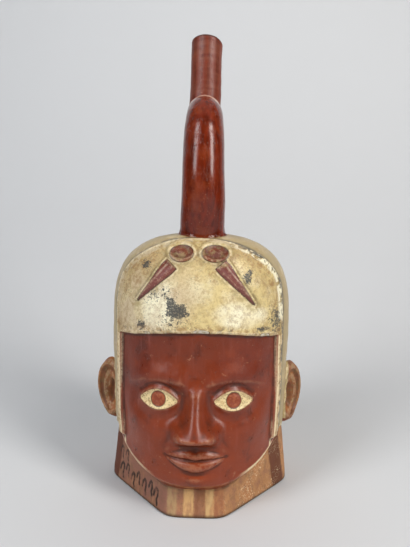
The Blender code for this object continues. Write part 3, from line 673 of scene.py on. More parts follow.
def head_place(angle, z, shrink, rise):
    """The outer side, with the foot's lower edge rounded off above the flat underside."""
    drop = np.maximum(EDGE_ROUND - z, 0.0)
    inset = EDGE_ROUND - np.sqrt(np.maximum(EDGE_ROUND ** 2 - drop ** 2, 0.0))
    point = outer_point(angle, z, shrink, rise)
    point[:2] *= 1 - inset / BASE_FRONT
    return point


def inner_place(angle, z, shrink, rise):
    """The chamber's plain inside: a wall's thickness inside neck and head alike."""
    upper = ramp((z - jaw_height(angle) - WALL) / (2 * WALL))
    neck, head = neck_radius(angle, z), head_radius(angle, z)
    radius = (neck + (head - neck) * upper - WALL) * shrink
    return np.array([radius * np.sin(angle), -radius * np.cos(angle), z + rise])


def finish_object(name, mesh, collection, material):
    obj = bpy.data.objects.new(name, mesh)
    collection.objects.link(obj)
    mesh.materials.clear()
    if material is not None:
        mesh.materials.append(material)
    return obj


def make_chamber(collection):
    plan = ring_plan(wall_rings=9, crown_rings=6, floor_rings=2)
    mesh = shape_sphere("chamber", INNER_SEGMENTS, plan, WALL, HEAD_HEIGHT - WALL, inner_place)
    return finish_object("chamber", mesh, collection, None)


def ear_outline(across, up):
    """Place on the ear's leaf-like outline, in metres: across from the head outwards, up to the top."""
    narrowing = 1 + 0.18 * up
    lean = EAR_LEAN * (max(0.25 - up, 0.0) / 1.25) ** 2
    return across * EAR_WIDTH / 2 * narrowing - lean, up * EAR_HEIGHT / 2


def arch_point(t):
    """Middle of the stirrup's tube at t: -1 deep in the front leg, 0 at the crest, 1 in the rear leg."""
    side = -1.0 if t < 0 else 1.0
    turn = abs(t) / UPPER_SHARE
    if turn < 1.0:
        beta = pi / 2 * (1 - turn)
        reach = (cos(beta) ** ARCH_ROUND + sin(beta) ** ARCH_ROUND) ** (-1 / ARCH_ROUND)
        y, z = ARCH_HALF_SPAN * reach * cos(beta), (SPOUT_FOOT - ARCH_WIDE_Z) * reach * sin(beta)
        return side * y, ARCH_WIDE_Z + z
    down = (turn - 1.0) / (1 / UPPER_SHARE - 1) * LEG_REACH
    y = ARCH_HALF_SPAN - (ARCH_HALF_SPAN - ARCH_FOOT) * down ** 2
    return side * y, ARCH_WIDE_Z - (ARCH_WIDE_Z - ARCH_FOOT_Z) * down


def turned_point(t):
    """The arch's point at t, turned with the stirrup about the spout."""
    y, z = arch_point(t)
    return -y * sin(radians(STIRRUP_TURN)), y * cos(radians(STIRRUP_TURN)), z


def arch_radius(z):
    """Outer radius of the stirrup's tube at a height, with the swelling at its foot."""
    share = float(np.clip((SPOUT_FOOT - z) / (SPOUT_FOOT - ARCH_FOOT_Z), 0.0, 1.0))
    flare = FOOT_FLARE * float(np.exp(-max(z - ARCH_FOOT_Z - 0.001, 0.0) / FLARE_HEIGHT))
    return (CREST_DIAMETER + (LEG_DIAMETER - CREST_DIAMETER) * share) / 2 + flare


def make_tube(name, thinner, sides, collection):
    """A tube along the stirrup as a closed mesh, its radius smaller than the outside's by so much."""
    curve = bpy.data.curves.new(name, "CURVE")
    curve.dimensions = "3D"
    curve.bevel_depth = 1.0
    curve.bevel_resolution = sides // 4 - 2
    curve.use_fill_caps = True
    spline = curve.splines.new("POLY")
    spline.points.add(ARCH_STEPS)
    for i, point in enumerate(spline.points):
        place = turned_point(2 * i / ARCH_STEPS - 1)
        point.co = (*place, 1.0)
        point.radius = arch_radius(place[2]) - thinner
    bent = bpy.data.objects.new(name, curve)
    collection.objects.link(bent)
    bpy.context.view_layer.update()
    mesh = bpy.data.meshes.new_from_object(bent.evaluated_get(bpy.context.evaluated_depsgraph_get()))
    bpy.data.objects.remove(bent)
    bm = bmesh.new()
    bm.from_mesh(mesh)
    bmesh.ops.remove_doubles(bm, verts=bm.verts, dist=1e-6)
    bmesh.ops.recalc_face_normals(bm, faces=bm.faces)
    keep_mesh(bm, mesh)
    return finish_object(name, mesh, collection, None)


def lean_spout(bm):
    """Leans the spout about its foot on the arch, and tilts the worn lip."""
    for vert in bm.verts:
        height = vert.co.z - SPOUT_FOOT
        share = float(ramp(height / (SPOUT_TOP - SPOUT_FOOT)))
        vert.co.z -= vert.co.x * sin(radians(LIP_TILT)) * share
        vert.co.x += height * sin(radians(SPOUT_LEAN))


def make_spout(collection):
    height = SPOUT_TOP - SPOUT_FOOT
    mesh = bpy.data.meshes.new("spout")
    bm = bmesh.new()
    bmesh.ops.create_cone(bm, cap_ends=True, segments=SPOUT_SIDES, radius1=SPOUT_FOOT_DIAMETER / 2,
                          radius2=SPOUT_DIAMETER / 2, depth=height)
    bmesh.ops.translate(bm, verts=bm.verts, vec=(0, 0, SPOUT_FOOT + height / 2))
    rim = [e for e in bm.edges if all(v.co.z > SPOUT_TOP - 1e-5 for v in e.verts)]
    bmesh.ops.bevel(bm, geom=rim, offset=LIP_ROUND, segments=3, affect="EDGES", profile=0.5)
    lean_spout(bm)
    keep_mesh(bm, mesh)
    return finish_object("spout", mesh, collection, None)


def make_spout_bore(collection):
    top = SPOUT_TOP + SPOUT_DIAMETER / 2
    mesh = bpy.data.meshes.new("spout_bore")
    bm = bmesh.new()
    bmesh.ops.create_cone(bm, cap_ends=True, segments=SPOUT_SIDES, radius1=SPOUT_BORE / 2,
                          radius2=SPOUT_BORE / 2, depth=top - SPOUT_FOOT)
    bmesh.ops.translate(bm, verts=bm.verts, vec=(0, 0, (SPOUT_FOOT + top) / 2))
    for vert in bm.verts:
        vert.co.x += (vert.co.z - SPOUT_FOOT) * sin(radians(SPOUT_LEAN))
    keep_mesh(bm, mesh)
    return finish_object("spout_bore", mesh, collection, None)


def combine(target, tool, operation):
    step = target.modifiers.new(f"{operation.lower()} {tool.name}", "BOOLEAN")
    step.operation = operation
    step.object = tool
    step.solver = "EXACT"
    tool.hide_render = True
    tool.display_type = "WIRE"


def new_collection(name):
    collection = bpy.data.collections.new(name)
    bpy.context.scene.collection.children.link(collection)
    return collection


def ear_form(across, up):
    """Relief of the ear's outer side, as shares of its thickness, at a place across from the head and up."""
    rim = np.hypot(across, up)
    helix = 0.50 * bell(rim - 0.84, 0.12) * ramp((across + 0.75) / 0.5 + 0.9 * ramp((up - 0.1) / 0.5))
    concha = -0.46 * ramp((0.50 - np.hypot((across + 0.16) / 0.58, (up + 0.08) / 0.92)) / 0.26)
    fold_ring = np.hypot((across + 0.10) / 0.72, (up + 0.02) / 1.02)
    inner_fold = 0.28 * bell(fold_ring - 0.56, 0.10) * ramp((across + 0.55) / 0.4)
    flap = 0.34 * bell(across + 0.62, 0.15) * bell(up + 0.10, 0.22)
    lobe = 0.16 * bell(across + 0.05, 0.40) * bell(up + 0.78, 0.22)
    return (0.32 + helix + concha + inner_fold + flap + lobe) * np.sqrt(np.maximum(1 - rim ** 4, 0.0))


def make_ear(side, collection):
    """An ear with rim, fold, hollow and lobe, standing off the head: side is 1 at +X and -1 at -X."""
    name = "right" if side > 0 else "left"
    mesh = bpy.data.meshes.new("ear_" + name)
    bm = bmesh.new()
    bmesh.ops.create_uvsphere(bm, u_segments=EAR_SEGMENTS, v_segments=EAR_SEGMENTS * 3 // 4, radius=1.0)
    flare = radians(EAR_FLARE[name])
    middle_x = HEAD_WIDTH / 2 + sin(flare) * EAR_WIDTH / 2 - EAR_SUNK
    for vert in bm.verts:
        out, up, across = vert.co
        thick = float(ear_form(across, up)) if out > 0 else 0.55 * out
        across, up, thick = *ear_outline(across, up), thick * EAR_THICKNESS
        x = middle_x + across * sin(flare) + thick * cos(flare)
        y = EAR_BACK + across * cos(flare) - thick * sin(flare)
        vert.co = (side * x, y, EAR_MIDDLE + up)
    if side < 0:
        bmesh.ops.reverse_faces(bm, faces=bm.faces)
    keep_mesh(bm, mesh)
    return finish_object("ear_" + name, mesh, collection, None)


def chip_share(x, z):
    """1 where a flake has broken off the cap's lower edge, 0 and less elsewhere."""
    found = np.full(len(x), -1.0)
    for middle, half, high in CHIPS:
        upward = (z - cap_edge(x) - CHIP_UP) / high
        found = np.maximum(found, 1 - ((x - middle) / half) ** 2 - upward ** 2)
    return found


def chip_relief(x, z):
    return -CHIP_DEPTH * ramp(chip_share(x, z) / 0.7)


def rolled_seam(y, z):
    """The soft roll along the front panel's edge."""
    before = -seam_forward(z) - y
    return SEAM_ROLL * bell(before - SEAM_ROLL_MIDDLE, SEAM_ROLL_WIDTH) * ramp((z - CLOTH_LOW) / 0.010)


def swells(points, size):
    """Low swells of hand-formed clay between about -1 and 1, for points in rows."""
    total = np.zeros(len(points))
    for i in range(SWELL_WAVES):
        turn, lift = GOLDEN_ANGLE * i, 2 * (i + 0.5) / SWELL_WAVES - 1
        flat = sqrt(1 - lift * lift)
        direction = np.array([flat * cos(turn), flat * sin(turn), lift])
        total += np.sin(points @ direction * 2 * pi / size * (0.8 + 0.05 * i) + 1.7 * i * i)
    return total / sqrt(SWELL_WAVES)


def fine_plan():
    """Rings of the fine head. Below its shoulder, at discs and bands, the crown is as dense as the walls."""
    shoulder = radians(SHOULDER)
    plan = [("crown", pi / 2 + (shoulder - pi / 2) * i / TOP_RINGS) for i in range(TOP_RINGS)]
    plan += [("crown", shoulder * (1 - i / CROWN_RINGS)) for i in range(CROWN_RINGS)]
    return plan + ring_plan(WALL_RINGS, 0, FLOOR_RINGS)


def make_head(collection):
    mesh = shape_sphere(NAME + "_fine", HEAD_SEGMENTS, fine_plan(), 0.0, HEAD_HEIGHT, head_place)
    return finish_object(NAME + "_fine", mesh, collection, None)


def add_rings(obj, low, high, step):
    """Cuts level rings into a piece, so that smoothing and paint have points to hold on its long sides."""
    bm = bmesh.new()
    bm.from_mesh(obj.data)
    for i in range(int((high - low) / step) + 1):
        whole = list(bm.verts) + list(bm.edges) + list(bm.faces)
        bmesh.ops.bisect_plane(bm, geom=whole, plane_co=(0, 0, low + i * step), plane_no=(0, 0, 1))
    keep_mesh(bm, obj.data)


def build_solid():
    """The whole fine body: head, ears, stirrup and spout joined, and the hollow cut out of them."""
    tools = new_collection("tools")
    vessel = make_head(bpy.context.scene.collection)
    stirrup = make_tube("stirrup", 0.0, TUBE_SIDES, tools)
    added = [make_spout(tools), make_ear(-1, tools), make_ear(1, tools)]
    add_rings(added[0], SPOUT_FOOT + 0.001, SPOUT_TOP - LIP_ROUND - 0.001, SPOUT_RING_STEP)
    for piece in added:
        combine(stirrup, piece, "UNION")
    hollow = make_chamber(tools)
    cuts = [make_tube("stirrup_bore", TUBE_WALL, BORE_SIDES, tools), make_spout_bore(tools)]
    for piece in cuts:
        combine(hollow, piece, "UNION")
    combine(vessel, stirrup, "UNION")
    combine(vessel, hollow, "DIFFERENCE")
    bpy.context.view_layer.update()
    mesh = bpy.data.meshes.new_from_object(vessel.evaluated_get(bpy.context.evaluated_depsgraph_get()))
    vessel.modifiers.clear()
    vessel.data = mesh
    for piece in [stirrup, hollow] + added + cuts:
        bpy.data.objects.remove(piece)
    return vessel


def neighbours(mesh):
    """The two ends of every edge, and how many edges meet at each point."""
    ends = np.empty(len(mesh.edges) * 2, dtype=np.int32)
    mesh.edges.foreach_get("vertices", ends)
    ends = ends.reshape(-1, 2)
    return ends, np.maximum(np.bincount(ends.ravel(), minlength=len(mesh.vertices)), 1)


def spread(values, ends, count, rounds):
    """Each point's value averaged with its neighbours', so many times."""
    for _ in range(rounds):
        total = np.zeros_like(values)
        for k in range(values.shape[1]):
            total[:, k] = np.bincount(ends[:, 0], values[ends[:, 1], k], minlength=len(values))
            total[:, k] += np.bincount(ends[:, 1], values[ends[:, 0], k], minlength=len(values))
        values = 0.5 * values + 0.5 * total / count[:, None]
    return values


def stirrup_depths(points):
    """Signed distance outside the stirrup's own surface, and outside the spout's: about 0 on them."""
    nearest = np.full(len(points), 1.0)
    for i in range(ARCH_STEPS * 2 + 1):
        middle = turned_point(i / ARCH_STEPS - 1)
        away = np.linalg.norm(points - np.array(middle), axis=1)
        nearest = np.minimum(nearest, away - arch_radius(middle[2]))
    above = points[:, 2] - SPOUT_FOOT
    aside = np.hypot(points[:, 0] - above * sin(radians(SPOUT_LEAN)), points[:, 1]) - SPOUT_FOOT_DIAMETER / 2
    return nearest, np.where(above > 0, aside, 1.0)


def ear_field(x, y, z):
    """How far points near the ears stand off the head's side, and a low value elsewhere."""
    angle = np.arctan2(x, -y)
    off_head = np.hypot(x, y) - head_radius(angle, np.minimum(z, WIDEST * HEAD_HEIGHT)) - CAP_THICKNESS
    near = (np.abs(z - EAR_MIDDLE) < EAR_HEIGHT * 0.56) & (np.abs(y - EAR_BACK) < EAR_WIDTH)
    return np.where(near, off_head, -0.02)


def soften_joints(mesh):
    """Smooths the clay where stirrup, spout and ears meet what carries them."""
    points = rows_of(mesh, "co")
    ends, count = neighbours(mesh)
    tube, spout = stirrup_depths(points)
    kinds = np.where(np.abs(spout) < ON_SURFACE, 3, np.where(np.abs(tube) < ON_SURFACE, 2, 0))
    kinds = np.where(ear_field(*points.T) > OFF_HEAD, 1, kinds)
    crossing = (kinds[ends[:, 0]] != kinds[ends[:, 1]]) & (points[ends[:, 0], 2] < ARCH_TOP + 0.004)
    share = np.zeros((len(points), 1))
    share[ends[crossing].ravel()] = 1.0
    share = np.clip(3 * spread(share, ends, count, JOINT_SPREAD), 0.0, 1.0)
    smooth = spread(points, ends, count, JOINT_ROUNDS)
    move_points(mesh, points + (smooth - points) * share)


def add_swells(mesh):
    """Unevenness of hand-formed clay on everything but the flat underside."""
    points, facing = rows_of(mesh, "co"), rows_of(mesh, "normal")
    lifted = ramp(points[:, 2] / 0.006)
    height = SWELL_HEIGHT * swells(points, SWELL_SIZE)
    height = height + RIPPLE_HEIGHT * swells(points[:, [1, 2, 0]], RIPPLE_SIZE)
    move_points(mesh, points + facing * (height * lifted)[:, None])


def hollowness(mesh):
    """How much deeper than its surroundings each point lies, in metres; ridges are below 0."""
    points, facing = rows_of(mesh, "co"), rows_of(mesh, "normal")
    ends, count = neighbours(mesh)
    depth = np.einsum("ij,ij->i", spread(points, ends, count, NEAR_ROUNDS) - points, facing)[:, None]
    return (depth - spread(depth, ends, count, WIDE_ROUNDS))[:, 0]


def segment_distance(u, v, start, end):
    """Distance in the plane from points to a straight stroke."""
    run_u, run_v = end[0] - start[0], end[1] - start[1]
    t = np.clip(((u - start[0]) * run_u + (v - start[1]) * run_v) / (run_u ** 2 + run_v ** 2), 0.0, 1.0)
    return np.hypot(u - start[0] - t * run_u, v - start[1] - t * run_v)


def curl_field(x, y, z):
    """Painted hooks along the neck's left front facet, as a signed distance, positive inside a stroke."""
    start_x, start_y = -BASE_FLAT / 2, -BASE_FRONT
    run_x, run_y = -BASE_WIDTH / 2 - start_x, -BASE_CORNER_FORWARD - start_y
    along = ((x - start_x) * run_x + (y - start_y) * run_y) / sqrt(run_x ** 2 + run_y ** 2)
    found = np.full(len(x), -0.01)
    for place, low, size, width in CURLS:
        u, v = (place - along) / size, (z - low) / size
        for first, second in zip(CURL_STROKE, CURL_STROKE[1:]):
            found = np.maximum(found, width - size * segment_distance(u, v, first, second))
    return np.where((x < 0) & (y < 0) & (z < CURLS_TOP), found, -0.01)


def patch_field(patches, x, y, z):
    """Patches on the cap's front: their strength in the middle, falling to 0 and below outside."""
    found = np.full(len(x), -1.0)
    for middle_x, middle_z, half_x, half_z, slant, strength in patches:
        across = (x - middle_x - slant * (z - middle_z)) / half_x
        found = np.maximum(found, strength * (1 - across ** 2 - ((z - middle_z) / half_z) ** 2))
    return np.where(y < 0, np.maximum(found, -1.0), -1.0)


def eye_fields(x, y, z):
    """Signed distances of the painted white of the eyes, with the lids' edge, and of the irises."""
    across, up = np.abs(x) / FACE_UNIT - EYE_WIDTH, (z - CHIN) / FACE_UNIT - EYE_LEVEL
    arch = np.clip(1 - (across / (EYE_WIDTH / 2)) ** 2, 0.0, 1.0)
    opening = np.minimum(UPPER_LID * arch - up, up + LOWER_LID * arch)
    corner = EYE_WIDTH / 2 - np.abs(across)
    white = np.minimum(opening + LID_EDGE, corner + 0.3)
    iris = IRIS - np.hypot(across, up - IRIS_UP)
    lid = np.minimum(-np.abs(opening + LID_EDGE + 0.1), corner + 1.2)
    hidden = y > -0.02
    return [np.where(hidden, -9.0, field) * FACE_UNIT for field in (white, np.minimum(iris, opening), lid)]


def trim_field(x, y, z):
    """Signed distance of the red discs and bands on the cap."""
    disc = (0.88 - disc_ring(x, z)) * DISC_HALF_HEIGHT
    along, aside, half, length = band_place(x, z)
    band = np.minimum(half - aside, np.minimum(along + 0.0006, length - along))
    return np.where((y < 0) & (z > CAP_EDGE + 0.004), np.maximum(disc, band), -0.01)


def paint_fields(points):
    """Every painted area as a signed distance in metres, positive inside."""
    x, y, z = points.T
    tube, spout = stirrup_depths(points)
    angle = np.arctan2(x, -y)
    beside = np.minimum(y + STRIP_FORWARD, z - low_edge(angle))
    white, iris, lid = eye_fields(x, y, z)
    return {
        "cloth": np.maximum(z - cap_edge(x), beside),
        "above_cap_edge": z - cap_edge(x),
        "seam": np.where(z > CLOTH_LOW - 0.006, -seam_forward(z) - y, -0.02),
        "jaw": z - jaw_height(angle),
        "face_side": -y - STRIP_FORWARD,
        "stirrup": -np.minimum(tube, spout),
        "spout": -spout,
        "chips": np.where(y < 0, chip_share(x, z), -1.0),
        "lobe": np.minimum(-EAR_BACK - 0.0035 - y, EAR_MIDDLE - 0.004 - z),
        "lip": z - SPOUT_TOP + x * sin(radians(LIP_TILT)),
        "ear": ear_field(x, y, z) - 0.0012,
        "eye_white": white,
        "iris": iris,
        "lid": lid,
        "trim": trim_field(x, y, z),
        "curls": curl_field(x, y, z),
        "soot": patch_field(SOOT, x, y, z),
        "pale": patch_field(PALE, x, y, z),
    }


def crest_field(mesh):
    """How far each point has turned up past the slant at which the crest is rubbed and painted with a
    highlight: 0 just there.
    """
    slant = radians(RUB_AND_HIGHLIGHT_SLANT)
    return rows_of(mesh, "normal") @ np.array([0.0, cos(slant), sin(slant)])


def keep_field(mesh, name, values):
    layer = mesh.attributes.new(name, "FLOAT", "POINT")
    layer.data.foreach_set("value", np.ascontiguousarray(values, dtype=np.float32))


class Nodes:
    """Short calls for the nodes of one material."""

    def __init__(self, material):
        material.use_nodes = True
        self.tree = material.node_tree
        self.shader = self.tree.nodes["Principled BSDF"]
        self.place = self.add("ShaderNodeTexCoord").outputs["Object"]

    def add(self, kind, **settings):
        node = self.tree.nodes.new(kind)
        for name, value in settings.items():
            setattr(node, name, value)
        return node

    def put(self, socket, value):
        if isinstance(value, bpy.types.NodeSocket):
            self.tree.links.new(value, socket)
        else:
            socket.default_value = value

    def math(self, operation, *values, clamp=False):
        node = self.add("ShaderNodeMath", operation=operation, use_clamp=clamp)
        for socket, value in zip(node.inputs, values):
            self.put(socket, value)
        return node.outputs[0]

    def plus(self, first, second):
        return self.math("ADD", first, second)

    def minus(self, first, second):
        return self.math("SUBTRACT", first, second)

    def larger(self, first, second):
        return self.math("MAXIMUM", first, second)

    def times(self, *values):
        """The product of all the values."""
        total = values[0]
        for value in values[1:]:
            total = self.math("MULTIPLY", total, value)
        return total

    def field(self, name):
        return self.add("ShaderNodeAttribute", attribute_name=name).outputs["Fac"]

    def between(self, value, low, high, start=0.0, end=1.0):
        """Start below low, end above high, and a smooth step between them."""
        node = self.add("ShaderNodeMapRange", interpolation_type="SMOOTHSTEP")
        for socket, number in zip(node.inputs, (value, low, high, start, end)):
            self.put(socket, number)
        return node.outputs[0]

    def noise(self, size, detail=3.0, rough=0.5, stretch=(1, 1, 1), seed=0.0):
        """Noise from 0 to 1 with features about size across, in metres, and longer where stretch is large."""
        turned = self.add("ShaderNodeMapping")
        self.put(turned.inputs["Vector"], self.place)
        turned.inputs["Scale"].default_value = [1 / s for s in stretch]
        turned.inputs["Location"].default_value = (seed, seed * 0.7, -seed)
        node = self.add("ShaderNodeTexNoise")
        self.put(node.inputs["Vector"], turned.outputs[0])
        node.inputs["Scale"].default_value = 1 / size
        node.inputs["Detail"].default_value = detail
        node.inputs["Roughness"].default_value = rough
        return node.outputs["Fac"]

    def mix(self, share, first, second):
        """A colour that runs from first to second."""
        node = self.add("ShaderNodeMix", data_type="RGBA")
        for socket, value in zip((node.inputs[0], node.inputs[6], node.inputs[7]), (share, first, second)):
            self.put(socket, value)
        return node.outputs[2]

    def blend(self, share, first, second):
        """A number that runs from first to second."""
        node = self.add("ShaderNodeMix", data_type="FLOAT")
        for socket, value in zip((node.inputs[0], node.inputs[2], node.inputs[3]), (share, first, second)):
            self.put(socket, value)
        return node.outputs[0]

    def lay(self, base, colour, *shares):
        """The base with another colour laid over it, by the product of the shares."""
        return self.mix(self.times(*shares), base, colour)


def painted_clay():
    """Burnished red slip, duller cream slip and bare tan clay, with paint, soot, dirt, wear and some painted
    shade and highlights over them.
    """
    material = bpy.data.materials.new("slip_painted_clay")
    n = Nodes(material)
    between, blend, mix, lay, field = n.between, n.blend, n.mix, n.lay, n.field
    plus, minus, times, larger = n.plus, n.minus, n.times, n.larger
    broad = n.noise(0.040, 2.0, 0.5, seed=0.3)
    cloud = n.noise(0.012, 4.0, 0.60, seed=1.1)
    grain = n.noise(0.0022, 4.0, 0.65, seed=2.7)
    speck = n.noise(0.0009, 3.0, 0.70, seed=4.2)
    blotch = n.noise(0.0050, 4.0, 0.72, seed=6.4)
    strokes = n.noise(0.0026, 3.0, 0.55, stretch=(1, 1, 14), seed=3.5)
    wipes = n.noise(0.0030, 3.0, 0.60, stretch=(9, 9, 1), seed=5.9)
    stain = n.noise(0.0016, 5.0, 0.75, seed=8.8)
    dab = n.noise(0.0032, 4.0, 0.70, seed=12.5)
    wobble = times(minus(grain, 0.5), BRUSH_WOBBLE)
    sway = times(minus(broad, 0.5), BORDER_SWAY)
    split = n.add("ShaderNodeSeparateXYZ")
    n.put(split.inputs[0], n.place)
    across, forward, height = split.outputs
    aside, level = plus(across, sway), plus(height, sway)
    seam, over_edge, face_side = field("seam"), field("above_cap_edge"), field("face_side")

    def inside(name, soft=0.00022, shift=0.0, waver=1.0):
        """Share of a painted area, with an edge that wavers as a brush line does."""
        return between(plus(field(name), times(wobble, waver)), shift - soft, shift + soft)

    def line(name, middle, half, waver=0.0):
        """Share of a line that runs where a field has one value."""
        moved = plus(field(name), times(wobble, waver))
        return between(n.math("ABSOLUTE", minus(moved, middle)), half, half * 0.3)

    cloth, jaw = inside("cloth"), inside("jaw", shift=-0.0012)
    stirrup = inside("stirrup", shift=-0.00075, waver=0.4)
    spout = inside("spout", shift=-0.0006, waver=0.2)
    ear, trim = inside("ear", soft=0.0006), inside("trim", soft=0.00018, waver=0.7)
    white, iris = inside("eye_white", soft=0.00018, waver=0.3), inside("iris", soft=0.00018, waver=0.25)
    front = between(forward, 0.0, -0.006)
    leftward = between(aside, 0.004, -0.030)

    # Red slip of the face: browner above, orange-red below, with a painted rosy sheen of the burnished slip,
    # stronger at the left
    red = mix(between(broad, 0.35, 0.65), RED_DEEP, RED)
    red = lay(red, RED_ORANGE, between(level, 0.070, 0.030), 0.7)
    red = lay(red, RED_ORANGE, between(cloud, 0.50, 0.68), 0.40)
    red = lay(red, RED_DARK, between(cloud, 0.47, 0.30), 0.60)
    red = lay(red, RED_DARK, between(level, 0.085, 0.110), 0.35)
    # painted rosy sheen, stronger towards the left
    red = lay(red, RED_ROSE_SHEEN, between(strokes, 0.52, 0.78), blend(leftward, 0.12, 0.38))
    red = lay(red, DIRT, between(speck, 0.64, 0.72), 0.65)
    red = lay(red, RED_PALE, between(blotch, 0.62, 0.69), between(speck, 0.42, 0.56), 0.40)

    # Deeper slip of the stirrup, duller on the spout, rubbed pale with a painted highlight where the crest
    # turns up to it
    tube = mix(between(strokes, 0.30, 0.70), TUBE_DEEP, TUBE)
    tube = lay(tube, TUBE_ORANGE, between(cloud, 0.48, 0.68), 0.6)
    tube = lay(tube, TUBE_DARK, between(blotch, 0.64, 0.70), 0.5)
    tube = lay(tube, TUBE_DARK, between(level, 0.195, 0.175), between(cloud, 0.4, 0.6), 0.30)
    tube = lay(tube, SPOUT_CLAY, spout, between(wipes, 0.20, 0.85), 0.85)
    tube = lay(tube, RED_PALE, between(speck, 0.64, 0.72), 0.45)
    crest = field("crest")
    at_spout = times(between(height, ARCH_TOP - 0.0140, ARCH_TOP - 0.0115), between(forward, -0.007, -0.010),
                     minus(1.0, spout))
    # Along the crest's outline by the spout: a duller, paler band, and over it a pale line of rubbed slip and
    # painted highlight
    tube = lay(tube, SPOUT_CLAY, at_spout, between(crest, -0.50, -0.18), between(crest, 0.30, 0.0), 0.35)
    tube = lay(tube, TUBE_WORN_AND_HIGHLIGHT, at_spout, between(crest, -0.21, -0.14), between(crest, 0.03, -0.01),
               between(grain, 0.30, 0.46, 0.45, 1.0), 0.95)
    tube = lay(tube, TUBE_DARK, line("lip", -0.0006, 0.0016), 0.85)

    # Cream slip of the cloth: pinkish white at the left, yellow at the right, tan and olive near its edges
    cream = mix(leftward, CREAM_YELLOW, CREAM_PINK)
    cream = lay(cream, CREAM, between(cloud, 0.46, 0.64), 0.75)
    border = between(plus(seam, times(sway, 0.25)), 0.016, 0.002)
    old = larger(border, between(level, 0.128, 0.160))
    cream = lay(cream, CREAM_TAN, old, between(cloud, 0.30, 0.56), 0.90)
    # rubbed, paler slip, partly a painted highlight
    cream = lay(cream, CREAM_BRIGHT, between(field("pale"), 0.0, 0.8), between(cloud, 0.34, 0.56, 0.45, 0.85))
    cream = lay(cream, CREAM_BROWN, between(blotch, 0.49, 0.62), blend(old, 0.30, 0.85))
    cream = lay(cream, CREAM_OLIVE, between(blotch, 0.45, 0.34), blend(old, 0.12, 0.60))
    cream = lay(cream, CREAM_GREY, between(grain, 0.55, 0.66), blend(old, 0.40, 0.75))
    cream = lay(cream, CREAM_BROWN, between(stain, 0.50, 0.62), blend(cloud, 0.35, 0.85),
                blend(old, 0.55, 1.0))
    sooty = times(between(cloud, 0.42, 0.60), blend(old, 0.45, 1.0))
    speckled = larger(sooty, between(field("soot"), -1.0, -0.2))
    cream = lay(cream, SOOT_AND_SHADE_COLOUR, between(speck, 0.56, 0.64), speckled, 0.75)

    # Browner and more olive cream round the discs and bands
    by_trim = times(between(field("trim"), -0.0058, -0.0010), front)
    cream = lay(cream, CREAM_BROWN, between(dab, 0.53, 0.62), blend(larger(old, by_trim), 0.30, 0.75))
    cream = lay(cream, CREAM_OLIVE, by_trim, between(blotch, 0.38, 0.56), 0.65)

    # The cloth behind the seam, the strips before the ears, and wear, dirt and painted shade along the seam
    cream = lay(cream, CREAM_BACK, between(seam, 0.0002, -0.0006),
                blend(between(cloud, 0.35, 0.60), 0.45, 0.95))
    cream = lay(cream, STRIP, between(over_edge, 0.0, -0.0015), between(seam, 0.0010, 0.0020), front, 0.75)
    cream = lay(cream, CREAM_PALE, line("seam", 0.0020, 0.0014, 0.8), between(grain, 0.42, 0.52), front, 0.5)
    cream = lay(cream, CREAM_BROWN, line("seam", 0.0046, 0.0018, 1.2), between(blotch, 0.42, 0.56), front,
                0.65)
    # dirt and painted shade in the groove behind the seam's step
    cream = lay(cream, SOOT_AND_SHADE_COLOUR, between(plus(seam, wobble), -0.0060, -0.0008), between(seam, 0.0007, 0.0),
                blend(between(blotch, 0.36, 0.52), 0.25, 0.9), front)

    # Soot, dirt above the cap's edge, and the bare clay of its chips
    soot = plus(times(field("soot"), 0.42), times(speck, 0.75))
    soot = plus(soot, times(minus(grain, 0.5), 1.1))
    cream = lay(cream, SOOT_AND_SHADE_COLOUR, between(soot, 0.46, 0.64), between(speck, 0.34, 0.50, 0.55, 0.92))
    over_face = between(face_side, -0.001, 0.001)
    cream = lay(cream, CREAM_BROWN, line("above_cap_edge", 0.0, 0.0024, 1.0), between(blotch, 0.36, 0.54),
                over_face, 0.75)
    above_edge = times(between(over_edge, 0.0062, 0.0006), over_face)
    cream = lay(cream, CREAM_BROWN, above_edge, between(dab, 0.46, 0.56), 0.85)
    cream = lay(cream, SOOT_AND_SHADE_COLOUR, above_edge, between(blotch, 0.53, 0.60), between(grain, 0.4, 0.5), 0.8)
    cream = lay(cream, WARM_DIRT_AND_SHADE, line("chips", -0.02, 0.34), 0.9)
    bare = mix(between(grain, 0.45, 0.60), CHIPPED, CREAM_GREY)
    cream = lay(cream, bare, inside("chips", soft=0.08, waver=120.0), 0.95)

